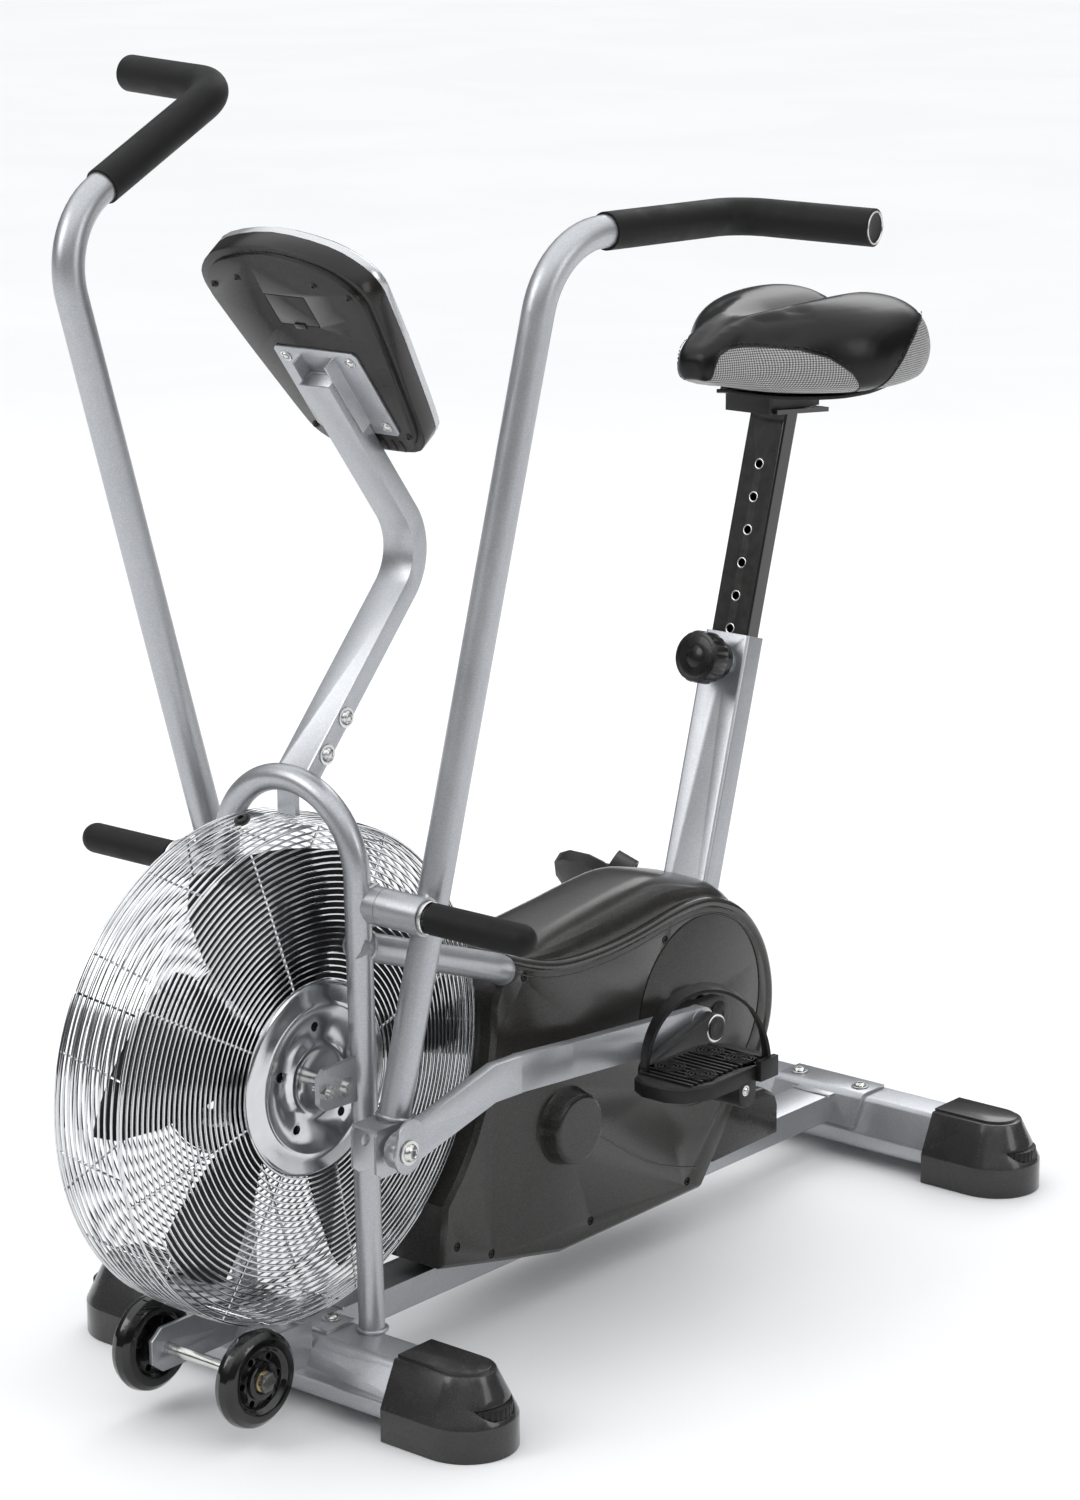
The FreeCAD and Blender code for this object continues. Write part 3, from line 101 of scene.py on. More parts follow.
@dataclass
class EffectBook:
    """Builds each shared effect once, as a shader node group with named inputs and outputs."""

    made: dict[Effect, bpy.types.NodeTree] = field(default_factory=dict)

    def get(self, effect: Effect) -> bpy.types.NodeTree:
        """Returns the node group of an effect, building it at its first use."""
        if effect not in self.made:
            builders = {Effect.GRAIN: self._grain, Effect.FLAKE: self._flake,
                        Effect.WEAR: self._wear, Effect.SMUDGE: self._smudge}
            self.made[effect] = builders[effect]()
        return self.made[effect]

    @staticmethod
    def _open(effect: Effect, numbers: dict[str, float]) -> tuple[bpy.types.NodeTree, "Wires"]:
        """Starts a node group.

        Args:
            effect: the effect the group makes.
            numbers: its named number inputs and their usual values.

        Returns:
            The group and its wiring helper.
        """
        tree = bpy.data.node_groups.new(effect.value, "ShaderNodeTree")
        for name, value in numbers.items():
            socket = tree.interface.new_socket(name, in_out="INPUT", socket_type="NodeSocketFloat")
            socket.default_value = value
        tree.interface.new_socket("Mask", in_out="OUTPUT", socket_type="NodeSocketFloat")
        return tree, Wires(tree)

    def _grain(self) -> bpy.types.NodeTree:
        """Fine moulded grain: cells broken up by noise."""
        tree, w = self._open(Effect.GRAIN, {"Scale": 900.0, "Spread": 0.5})
        spot, into = w.add("ShaderNodeTexCoord"), w.add("NodeGroupInput")
        cells = w.add("ShaderNodeTexVoronoi")
        noise = w.add("ShaderNodeTexNoise", {"Detail": 3.0})
        mix = w.add("ShaderNodeMix")
        for texture in (cells, noise):
            w.join(spot, "Object", texture, "Vector")
            w.join(into, "Scale", texture, "Scale")
        w.join(into, "Spread", mix, 0)
        w.join(cells, "Distance", mix, 2)
        w.join(noise, 0, mix, 3)
        w.join(mix, 0, w.add("NodeGroupOutput"), "Mask")
        return tree

    def _flake(self) -> bpy.types.NodeTree:
        """Sparkle of metal flakes in a paint or a plastic."""
        tree, w = self._open(Effect.FLAKE, {"Scale": 1800.0, "Share": 0.35})
        spot, into = w.add("ShaderNodeTexCoord"), w.add("NodeGroupInput")
        cells = w.add("ShaderNodeTexVoronoi")
        bits = w.add("ShaderNodeSeparateColor")
        power = w.add("ShaderNodeMath", {}, operation="POWER")
        scale = w.add("ShaderNodeMath", {}, operation="MULTIPLY")
        w.join(spot, "Object", cells, "Vector")
        w.join(into, "Scale", cells, "Scale")
        w.join(cells, "Color", bits, 0)
        w.join(bits, 0, power, 0)
        power.inputs[1].default_value = 3.0
        w.join(power, 0, scale, 0)
        w.join(into, "Share", scale, 1)
        w.join(scale, 0, w.add("NodeGroupOutput"), "Mask")
        return tree

    def _wear(self) -> bpy.types.NodeTree:
        """Rubbed edges: sharp outer edges, broken up by noise."""
        tree, w = self._open(Effect.WEAR, {"Amount": 0.5})
        into, shape = w.add("NodeGroupInput"), w.add("ShaderNodeNewGeometry")
        spot, noise = w.add("ShaderNodeTexCoord"), w.add("ShaderNodeTexNoise", {"Scale": 90.0, "Detail": 5.0})
        edge = w.add("ShaderNodeMapRange", {"From Min": 0.53, "From Max": 0.62})
        broken = w.add("ShaderNodeMath", {}, operation="MULTIPLY")
        scaled = w.add("ShaderNodeMath", {}, operation="MULTIPLY")
        w.join(spot, "Object", noise, "Vector")
        w.join(shape, "Pointiness", edge, "Value")
        w.join(edge, 0, broken, 0)
        w.join(noise, 0, broken, 1)
        w.join(broken, 0, scaled, 0)
        w.join(into, "Amount", scaled, 1)
        w.join(scaled, 0, w.add("NodeGroupOutput"), "Mask")
        return tree

    def _smudge(self) -> bpy.types.NodeTree:
        """Slow uneven patches of handling and dust."""
        tree, w = self._open(Effect.SMUDGE, {"Scale": 9.0, "Low": 0.4, "High": 0.65})
        spot, into = w.add("ShaderNodeTexCoord"), w.add("NodeGroupInput")
        noise = w.add("ShaderNodeTexNoise", {"Detail": 7.0, "Roughness": 0.62, "Distortion": 0.6})
        span = w.add("ShaderNodeMapRange")
        w.join(spot, "Object", noise, "Vector")
        w.join(into, "Scale", noise, "Scale")
        w.join(noise, 0, span, "Value")
        w.join(into, "Low", span, "From Min")
        w.join(into, "High", span, "From Max")
        w.join(span, 0, w.add("NodeGroupOutput"), "Mask")
        return tree


class Wires:
    """Adds and joins the nodes of one tree."""

    def __init__(self, tree: bpy.types.NodeTree) -> None:
        """Keeps the tree to work on."""
        self.tree = tree

    def add(self, kind: str, numbers: dict[str, float] | None = None, **options: str) -> bpy.types.Node:
        """Adds a node.

        Args:
            kind: the node's type name.
            numbers: values of its input sockets, by name.
            options: the node's own settings.

        Returns:
            The new node.
        """
        node = self.tree.nodes.new(kind)
        for key, value in options.items():
            setattr(node, key, value)
        for key, value in (numbers or {}).items():
            node.inputs[key].default_value = value
        return node

    def join(self, source: bpy.types.Node, out: str | int, target: bpy.types.Node, into: str | int) -> None:
        """Links an output socket to an input socket."""
        self.tree.links.new(source.outputs[out], target.inputs[into])

    def effect(self, book: EffectBook, effect: Effect, **numbers: float) -> bpy.types.Node:
        """Places a shared effect with this finish's own values."""
        node = self.tree.nodes.new("ShaderNodeGroup")
        node.node_tree = book.get(effect)
        for key, value in numbers.items():
            node.inputs[key].default_value = value
        return node


# ------------------------------------------------------------------ finishes


@dataclass(frozen=True)
class Finish:
    """A surface finish: two colours that patches vary between, gloss, grain and wear."""

    name: str
    colour: Point
    second: Point
    rough: float
    rough_second: float
    metal: float = 0.0
    coat: float = 0.0
    coat_rough: float = 0.1
    grain: float = 900.0
    grain_depth: float = 0.05
    patch: float = 9.0
    flake: float = 0.0
    wear: float = 0.0
    worn: Point = (0.6, 0.6, 0.6)
    specular: float = 0.28

    def make(self, book: EffectBook) -> Material:
        """Builds the material of this finish.

        Args:
            book: where the shared effects come from.

        Returns:
            The material.
        """
        material = bpy.data.materials.new(self.name)
        material.use_nodes = True
        w = Wires(material.node_tree)
        skin = next(n for n in material.node_tree.nodes if n.type == "BSDF_PRINCIPLED")
        smudge = w.effect(book, Effect.SMUDGE, Scale=self.patch)
        tint = self._colour_mix(w, smudge)
        gloss = w.add("ShaderNodeMapRange", {"To Min": self.rough, "To Max": self.rough_second})
        w.join(smudge, 0, gloss, "Value")
        last = tint
        if self.flake:
            last = self._tinted(w, last, w.effect(book, Effect.FLAKE, Share=self.flake), (0.85, 0.87, 0.88))
        if self.wear:
            last = self._tinted(w, last, w.effect(book, Effect.WEAR, Amount=self.wear), self.worn)
        w.join(last, 2, skin, "Base Color")
        w.join(gloss, 0, skin, "Roughness")
        skin.inputs["Metallic"].default_value = self.metal
        skin.inputs["Coat Weight"].default_value = self.coat
        skin.inputs["Coat Roughness"].default_value = self.coat_rough
        skin.inputs["Specular IOR Level"].default_value = self.specular
        self._relief(w, book, skin)
        self._extra(w, book, skin, last)
        return material

    def _colour_mix(self, w: Wires, mask: bpy.types.Node) -> bpy.types.Node:
        """Mixes the two colours by a mask and returns the mix node."""
        mix = w.add("ShaderNodeMix", {}, data_type="RGBA")
        mix.inputs[6].default_value = (*self.colour, 1.0)
        mix.inputs[7].default_value = (*self.second, 1.0)
        w.join(mask, 0, mix, 0)
        return mix

    @staticmethod
    def _tinted(w: Wires, below: bpy.types.Node, mask: bpy.types.Node, colour: Point) -> bpy.types.Node:
        """Lays a colour over what is below, where the mask is."""
        mix = w.add("ShaderNodeMix", {}, data_type="RGBA")
        w.join(below, 2, mix, 6)
        mix.inputs[7].default_value = (*colour, 1.0)
        w.join(mask, 0, mix, 0)
        return mix

    def _relief(self, w: Wires, book: EffectBook, skin: bpy.types.Node) -> None:
        """Adds the grain as a small bump."""
        grain = w.effect(book, Effect.GRAIN, Scale=self.grain)
        bump = w.add("ShaderNodeBump", {"Strength": self.grain_depth, "Distance": 0.0005})
        w.join(grain, 0, bump, "Height")
        w.join(bump, 0, skin, "Normal")

    def _extra(self, w: Wires, book: EffectBook, skin: bpy.types.Node, colour: bpy.types.Node) -> None:
        """Place for what only one kind of finish has."""


@dataclass(frozen=True)
class BrushedPlate(Finish):
    """Plated metal with faint drawn lines round an X axis."""

    def _relief(self, w: Wires, book: EffectBook, skin: bpy.types.Node) -> None:
        """Adds long thin lines as a bump."""
        spot = w.add("ShaderNodeTexCoord")
        stretch = w.add("ShaderNodeMapping")
        stretch.inputs["Scale"].default_value = (40.0, 700.0, 700.0)
        noise = w.add("ShaderNodeTexNoise", {"Scale": 1.0, "Detail": 4.0})
        bump = w.add("ShaderNodeBump", {"Strength": self.grain_depth, "Distance": 0.0004})
        w.join(spot, "Object", stretch, "Vector")
        w.join(stretch, 0, noise, "Vector")
        w.join(noise, 0, bump, "Height")
        w.join(bump, 0, skin, "Normal")


@dataclass(frozen=True)
class SaddleCover(Finish):
    """Black vinyl with a silver diamond mesh wherever the piece's attribute "panel" is above nought."""

    mesh: Point = (0.50, 0.50, 0.49)
    hole: Point = (0.10, 0.10, 0.10)
    pitch: float = 0.0036

    def _extra(self, w: Wires, book: EffectBook, skin: bpy.types.Node, colour: bpy.types.Node) -> None:
        """Adds the mesh panels and their weave, with a narrow blend between mesh and vinyl."""
        panel = w.add("ShaderNodeAttribute", {}, attribute_name="panel")
        side = w.add("ShaderNodeMapRange", {"From Min": -0.0002, "From Max": 0.0002})
        w.join(panel, "Fac", side, "Value")
        spot = w.add("ShaderNodeTexCoord")
        turn = w.add("ShaderNodeMapping")
        turn.inputs["Rotation"].default_value = (math.radians(45), 0.0, 0.0)
        split = w.add("ShaderNodeSeparateXYZ")
        w.join(spot, "Object", turn, "Vector")
        w.join(turn, 0, split, 0)
        waves = []
        for socket in (1, 2):
            wave = w.add("ShaderNodeMath", {}, operation="SINE")
            scale = w.add("ShaderNodeMath", {}, operation="MULTIPLY")
            scale.inputs[1].default_value = math.tau / self.pitch
            w.join(split, socket, scale, 0)
            w.join(scale, 0, wave, 0)
            waves.append(wave)
        cross = w.add("ShaderNodeMath", {}, operation="MULTIPLY")
        w.join(waves[0], 0, cross, 0)
        w.join(waves[1], 0, cross, 1)
        weave = w.add("ShaderNodeMapRange", {"From Min": -0.35, "From Max": 0.45})
        w.join(cross, 0, weave, "Value")
        cloth = w.add("ShaderNodeMix", {}, data_type="RGBA")
        cloth.inputs[6].default_value = (*self.hole, 1.0)
        cloth.inputs[7].default_value = (*self.mesh, 1.0)
        w.join(weave, 0, cloth, 0)
        both = w.add("ShaderNodeMix", {}, data_type="RGBA")
        w.join(side, 0, both, 0)
        w.join(colour, 2, both, 6)
        w.join(cloth, 2, both, 7)
        w.join(both, 2, skin, "Base Color")
        gloss = w.add("ShaderNodeMix")
        gloss.inputs[2].default_value = self.rough
        gloss.inputs[3].default_value = 0.42
        w.join(side, 0, gloss, 0)
        w.join(gloss, 0, skin, "Roughness")
        height = w.add("ShaderNodeMath", {}, operation="MULTIPLY")
        w.join(side, 0, height, 0)
        w.join(weave, 0, height, 1)
        bump = w.add("ShaderNodeBump", {"Strength": 0.55, "Distance": 0.0012})
        old = skin.inputs["Normal"].links[0].from_node
        w.join(height, 0, bump, "Height")
        w.join(old, 0, bump, "Normal")
        w.join(bump, 0, skin, "Normal")


@dataclass(frozen=True)
class Lens(Finish):
    """Clear window over a grey-green display."""

    def _extra(self, w: Wires, book: EffectBook, skin: bpy.types.Node, colour: bpy.types.Node) -> None:
        """Gives the window a hard clear coat."""
        skin.inputs["Coat Weight"].default_value = 1.0
        skin.inputs["Coat Roughness"].default_value = 0.02


@dataclass(frozen=True)
class Foam(Finish):
    """Closed-cell foam: soft, dull, with small open pores."""

    def _extra(self, w: Wires, book: EffectBook, skin: bpy.types.Node, colour: bpy.types.Node) -> None:
        """Adds a faint nap."""
        skin.inputs["Sheen Weight"].default_value = 0.02
        skin.inputs["Sheen Roughness"].default_value = 0.5


@dataclass(frozen=True)
class Finishes:
    """Every finish on the machine, by the record's slot or by a trim's own name."""

    silver: Finish = Finish("silver_powder_coat", (0.37, 0.38, 0.40), (0.42, 0.43, 0.45), 0.32, 0.38, metal=0.75,
                            grain=1500.0, grain_depth=0.10, patch=5.0, flake=0.30, wear=0.18, worn=(0.72, 0.73, 0.74))
    zinc: Finish = BrushedPlate("bright_zinc_plate", (0.60, 0.60, 0.57), (0.70, 0.71, 0.72), 0.20, 0.34, metal=1.0,
                                grain_depth=0.10, patch=40.0)
    guard: Finish = Finish("guard_chrome", (0.66, 0.67, 0.68), (0.58, 0.59, 0.60), 0.07, 0.13, metal=1.0,
                           grain=300.0, grain_depth=0.02, patch=30.0)
    plate: Finish = BrushedPlate("hub_plate_chrome", (0.62, 0.63, 0.64), (0.52, 0.53, 0.54), 0.13, 0.22, metal=1.0,
                                 grain_depth=0.05, patch=14.0)
    cover: Finish = Finish("charcoal_cover", (0.021, 0.019, 0.017), (0.027, 0.025, 0.022), 0.27, 0.34, metal=0.25,
                           coat=0.30, coat_rough=0.14, grain=1400.0, grain_depth=0.05, patch=7.0, flake=0.05,
                           wear=0.10, worn=(0.16, 0.155, 0.15))
    gloss: Finish = Finish("charcoal_rolled_edge", (0.026, 0.024, 0.021), (0.032, 0.029, 0.026), 0.15, 0.20,
                           metal=0.25, coat=0.6, coat_rough=0.08, grain=1400.0, grain_depth=0.03, patch=9.0,
                           flake=0.05)
    cap: Finish = Finish("charcoal_cap", (0.022, 0.0215, 0.0215), (0.029, 0.028, 0.028), 0.24, 0.30, coat=0.4,
                         coat_rough=0.12, grain=1100.0, grain_depth=0.05, patch=12.0, flake=0.03, wear=0.18,
                         worn=(0.14, 0.14, 0.14))
    foam: Finish = Foam("black_foam", (0.004, 0.004, 0.004), (0.006, 0.006, 0.0055), 0.55, 0.68, grain=1300.0,
                        grain_depth=0.30, patch=30.0, specular=0.24)
    post: Finish = Finish("black_gloss_post", (0.010, 0.010, 0.0095), (0.015, 0.015, 0.014), 0.12, 0.18, coat=0.8,
                          coat_rough=0.05, grain=900.0, grain_depth=0.03, patch=8.0, wear=0.25, worn=(0.2, 0.2, 0.19))
    black: Finish = Finish("black_satin_paint", (0.007, 0.007, 0.007), (0.011, 0.011, 0.011), 0.36, 0.45, coat=0.15,
                           grain=1200.0, grain_depth=0.08, patch=16.0, wear=0.4, worn=(0.18, 0.18, 0.18))
    plastic: Finish = Finish("black_moulding", (0.006, 0.006, 0.0055), (0.010, 0.0095, 0.009), 0.36, 0.50,
                             grain=1500.0, grain_depth=0.18, patch=18.0, wear=0.3, worn=(0.07, 0.07, 0.07))
    knob: Finish = Finish("knob_moulding", (0.006, 0.0055, 0.0065), (0.009, 0.0085, 0.0095), 0.26, 0.36, coat=0.2,
                          grain=1600.0, grain_depth=0.10, patch=30.0, wear=0.3, worn=(0.09, 0.09, 0.09))
    console: Finish = Finish("console_moulding", (0.008, 0.0068, 0.0056), (0.012, 0.0102, 0.009), 0.24, 0.34,
                             coat=0.15, grain=1700.0, grain_depth=0.14, patch=10.0, wear=0.15,
                             worn=(0.06, 0.055, 0.05))
    bezel: Finish = Finish("silver_lacquer", (0.52, 0.53, 0.54), (0.58, 0.59, 0.60), 0.22, 0.28, metal=0.55, coat=0.6,
                           coat_rough=0.06, grain=1600.0, grain_depth=0.03, patch=9.0, flake=0.2)
    lens: Finish = Lens("display_window", (0.22, 0.25, 0.22), (0.25, 0.28, 0.25), 0.06, 0.10, grain=200.0,
                        grain_depth=0.01, patch=6.0)
    button: Finish = Finish("button_rubber", (0.030, 0.030, 0.034), (0.045, 0.045, 0.050), 0.5, 0.62, grain=1500.0,
                            grain_depth=0.15, patch=40.0)
    saddle: Finish = SaddleCover("saddle_vinyl_and_mesh", (0.004, 0.004, 0.0038), (0.006, 0.0058, 0.0055), 0.28, 0.36,
                                 grain=1100.0, grain_depth=0.16, patch=9.0)
    thread: Finish = Finish("black_thread", (0.02, 0.018, 0.018), (0.04, 0.035, 0.035), 0.6, 0.8, grain=2500.0,
                            grain_depth=0.4, patch=60.0)
    urethane: Finish = Finish("wheel_urethane", (0.004, 0.004, 0.004), (0.007, 0.007, 0.007), 0.10, 0.20, coat=0.6,
                              coat_rough=0.05, grain=700.0, grain_depth=0.04, patch=24.0, wear=0.2,
                              worn=(0.05, 0.05, 0.05))
    brass: Finish = BrushedPlate("bearing_brass", (0.48, 0.38, 0.17), (0.40, 0.30, 0.12), 0.24, 0.34, metal=1.0,
                                 grain_depth=0.10, patch=60.0)
    rubber: Finish = Finish("ribbed_rubber", (0.006, 0.006, 0.006), (0.010, 0.010, 0.0095), 0.42, 0.55, grain=900.0,
                            grain_depth=0.2, patch=26.0)
    rotor: Finish = Finish("rotor_paint", (0.005, 0.005, 0.005), (0.008, 0.008, 0.008), 0.34, 0.44, coat=0.1,
                           grain=900.0, grain_depth=0.06, patch=10.0)
    segment: Finish = Finish("display_segment", (0.035, 0.045, 0.04), (0.05, 0.06, 0.05), 0.4, 0.5, grain=900.0,
                             grain_depth=0.02, patch=30.0)
    ivory: Finish = Finish("pad_print_grey", (0.36, 0.36, 0.36), (0.42, 0.42, 0.42), 0.45, 0.55, grain=900.0,
                           grain_depth=0.05, patch=30.0)


SLOTS: dict[str, str] = {
    "frame_paint": "silver", "bright_zinc": "zinc", "guard_chrome": "guard", "cover_plastic": "cover",
    "cap_plastic": "cap", "foam": "foam", "black_gloss_paint": "post", "black_paint": "black",
    "black_plastic": "plastic", "knob_plastic": "knob", "console_plastic": "console", "bezel_silver": "bezel",
    "window": "lens", "button_rubber": "button", "saddle_vinyl": "saddle", "wheel_urethane": "urethane",
    "belt_rubber": "rubber", "fan_paint": "rotor",
}


@dataclass
class PaintShop:
    """Mixes each finish once and lays it on pieces."""

    book: EffectBook = field(default_factory=EffectBook)
    range: Finishes = field(default_factory=Finishes)
    mixed: dict[str, Material] = field(default_factory=dict)

    def get(self, name: str) -> Material:
        """Returns the material of a finish by its field name."""
        if name not in self.mixed:
            self.mixed[name] = getattr(self.range, name).make(self.book)
        return self.mixed[name]

    def paint(self, piece: Object, name: str) -> Object:
        """Lays one finish over the whole piece."""
        piece.data.materials.clear()
        piece.data.materials.append(self.get(name))
        return piece

    def paint_cad(self) -> None:
        """Lays the record's finishes on the CAD nodes."""
        slots = {s["node"]: s["material_slot"] for s in frame["record"]["subparts"]}
        for name, node in frame["nodes"].items():
            self.paint(node, SLOTS[slots[name]])


# ------------------------------------------------------------------ bench tools


class Bench:
    """Hand tools that add and shape one piece at a time."""

    shop = PaintShop()

    @staticmethod
    def clear() -> None:
        """Leaves edit mode and lets go of everything."""
        if bpy.context.object and bpy.context.mode != "OBJECT":
            bpy.ops.object.mode_set(mode="OBJECT")
        bpy.ops.object.select_all(action="DESELECT")

    @classmethod
    def take(cls, piece: Object) -> Object:
        """Makes one piece the only one selected."""
        cls.clear()
        piece.select_set(True)
        bpy.context.view_layer.objects.active = piece
        return piece

    @classmethod
    def new(cls, name: str) -> Object:
        """Names the primitive that was just added."""
        piece = bpy.context.object
        piece.name = piece.data.name = name
        return piece

    @classmethod
    def aim(cls, piece: Object, place: Vector, axis: Vector) -> Object:
        """Turns a piece made along Z to an axis, moves it to its place and settles it there."""
        piece.matrix_world = Matrix.Translation(place) @ Vector(axis).to_track_quat("Z", "Y").to_matrix().to_4x4()
        return cls.settle(piece)

    @classmethod
    def settle(cls, piece: Object) -> Object:
        """Puts the piece's place, turn and size into its mesh."""
        cls.take(piece)
        bpy.ops.object.transform_apply(location=True, rotation=True, scale=True)
        return piece

    @classmethod
    def modify(cls, piece: Object, kind: str, **settings: object) -> Object:
        """Adds a modifier and applies it."""
        cls.take(piece)
        modifier = piece.modifiers.new(kind.lower(), kind)
        for key, value in settings.items():
            setattr(modifier, key, value)
        bpy.ops.object.modifier_apply(modifier=modifier.name)
        return piece

    @classmethod
    def finish(cls, piece: Object, body: str, finish: str, slot: str = "", smooth: float = 38.0) -> Object:
        """Shades, paints and seats a settled piece.

        Args:
            piece: the piece, with its place already in its mesh.
            body: the CAD body it rides on.
            finish: the finish's name in the paint shop.
            slot: the record's slot that it stands in, if one; not used.
            smooth: edges flatter than this angle are shaded smooth.

        Returns:
            The same piece.
        """
        cls.take(piece)
        bpy.ops.object.shade_smooth_by_angle(angle=math.radians(smooth))
        cls.shop.paint(piece, finish)
        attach(piece, body)
        LOG.info("%s: %d faces on %s in %s", piece.name, len(piece.data.polygons), body, finish)
        return piece

    @classmethod
    def lathe(cls, name: str, outline: list[tuple[float, float]], place: Vector, axis: Vector,
              steps: int = 64) -> Object:
        """Spins a closed outline round an axis.

        Args:
            name: the piece's name.
            outline: closed loop of (radius, height) in millimetres.
            place: where the axis starts.
            axis: its direction.
            steps: segments round.

        Returns:
            The turned piece, settled.
        """
        cls.clear()
        bpy.ops.mesh.primitive_circle_add(vertices=len(outline), radius=1.0, fill_type="NOTHING")
        piece = cls.new(name)
        for vertex, (r, h) in zip(piece.data.vertices, outline):
            vertex.co = (max(r, 0.0) / 1000, 0.0, h / 1000)
        bpy.ops.object.mode_set(mode="EDIT")
        bpy.ops.mesh.select_all(action="SELECT")
        bpy.ops.mesh.spin(steps=steps, angle=math.tau, center=(0, 0, 0), axis=(0, 0, 1))
        bpy.ops.mesh.select_all(action="SELECT")
        bpy.ops.mesh.remove_doubles(threshold=2e-6)
        bpy.ops.mesh.dissolve_degenerate(threshold=1e-6)
        bpy.ops.mesh.normals_make_consistent(inside=False)
        bpy.ops.object.mode_set(mode="OBJECT")
        return cls.aim(piece, place, axis)

    @classmethod
    def wire(cls, name: str, points: list[Vector], radius: float, closed: bool = False, sides: int = 3,
             smooth: bool = False) -> Object:
        """Draws a round wire or tube along points, with closed ends.

        Args:
            name: the piece's name.
            points: the line's points.
            radius: half the thickness, in metres.
            closed: whether the line is a loop.
            sides: the bevel resolution.
            smooth: a NURBS line in place of straight runs.

        Returns:
            The tube as a mesh, settled.
        """
        cls.clear()
        curve = bpy.data.curves.new(name, "CURVE")
        curve.dimensions = "3D"
        curve.bevel_depth, curve.bevel_resolution, curve.use_fill_caps = radius, sides, True
        spline = curve.splines.new("NURBS" if smooth else "POLY")
        spline.points.add(len(points) - 1)
        for spot, p in zip(spline.points, points):
            spot.co = (*p, 1.0)
        spline.use_cyclic_u = closed
        if smooth:
            spline.order_u = 3
            spline.use_endpoint_u = not closed
        piece = bpy.data.objects.new(name, curve)
        bpy.context.scene.collection.objects.link(piece)
        cls.take(piece)
        bpy.ops.object.convert(target="MESH")
        return bpy.context.object

    @classmethod
    def join(cls, name: str, pieces: list[Object]) -> Object:
        """Joins pieces into the first and gives it a name."""
        cls.take(pieces[0])
        for piece in pieces:
            piece.select_set(True)
        if len(pieces) > 1:
            bpy.ops.object.join()
        piece = bpy.context.object
        piece.name = piece.data.name = name
        return piece

    @classmethod
    def merged(cls, node: str, name: str) -> Object:
        """Copies a CAD node's mesh and merges its loose triangles into clean faces."""
        cls.clear()
        source = frame["nodes"][node]
        piece = bpy.data.objects.new(name, source.data.copy())
        piece.data.name = name
        bpy.context.scene.collection.objects.link(piece)
        cls.take(piece)
        bpy.ops.object.mode_set(mode="EDIT")
        bpy.ops.mesh.select_all(action="SELECT")
        bpy.ops.mesh.customdata_custom_splitnormals_clear()
        bpy.ops.mesh.remove_doubles(threshold=1e-6)
        bpy.ops.mesh.dissolve_limited(angle_limit=math.radians(0.6), use_dissolve_boundaries=False)
        bpy.ops.object.mode_set(mode="OBJECT")
        return piece

    @classmethod
    def soften(cls, node: str, body: str, finish: str, slot: str, width: float = 0.8, angle: float = 32.0) -> Object:
        """Stands a copy with rounded edges in place of a sharp CAD node.

        Args:
            node: the CAD node.
            body: the body it rides on.
            finish: its finish.
            slot: its slot in the record.
            width: the rounding, in millimetres.
            angle: only edges sharper than this are rounded.

        Returns:
            The new piece.
        """
        piece = cls.merged(node, node + ".soft")
        cls.modify(piece, "BEVEL", width=width / 1000, segments=2, limit_method="ANGLE",
                   angle_limit=math.radians(angle), use_clamp_overlap=True, harden_normals=False,
                   miter_outer="MITER_ARC")
        cls.finish(piece, body, finish, slot, smooth=40.0)
        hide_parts(node)
        return piece

    @classmethod
    def bolt_head(cls, name: str, place: Vector, axis: Vector, radius: float, socket: float = 0.45) -> Object:
        """Button head with a washer and a recessed socket, seated at place.

        Args:
            name: the piece's name.
            place: centre of its seat.
            axis: the way it faces.
            radius: head radius in millimetres.
            socket: the socket's share of the radius.

        Returns:
            The settled piece.
        """
        r, s = radius, radius * socket
        outline = [(0, 0), (r * 1.35, 0), (r * 1.35, r * 0.16), (r, r * 0.18), (r * 0.97, r * 0.34),
                   (r * 0.80, r * 0.56), (s * 1.15, r * 0.68), (s, r * 0.64), (s * 0.95, r * 0.30), (0, r * 0.26)]
        return cls.lathe(name, outline, place, axis, 28)

    @classmethod
    def weld(cls, name: str, points: list[Vector], radius: float) -> Object:
        """Lays a rippled weld bead round a closed line of points."""
        bead = cls.wire(name, points, radius, closed=True, sides=2)
        for vertex in bead.data.vertices:
            p = vertex.co
            ripple = math.sin(p.x * 1900) * math.sin(p.y * 2100 + 1) + math.sin(p.z * 2000)
            vertex.co = p + Vector((0, 0, 1)) * ripple * radius * 0.10
        return bead


def circle(middle: Vector, axis: Vector, radius: float, count: int, start: float = 0.0) -> list[Vector]:
    """Points round a circle.

    Args:
        middle: its centre.
        axis: the direction it faces.
        radius: its radius in metres.
        count: how many points.
        start: the first point's angle in degrees.

    Returns:
        The points in order.
    """
    turn = Vector(axis).to_track_quat("Z", "Y")
    out = []
    for i in range(count):
        a = math.radians(start) + math.tau * i / count
        out.append(middle + turn @ Vector((math.cos(a) * radius, math.sin(a) * radius, 0)))
    return out


# ------------------------------------------------------------------ sub-assemblies


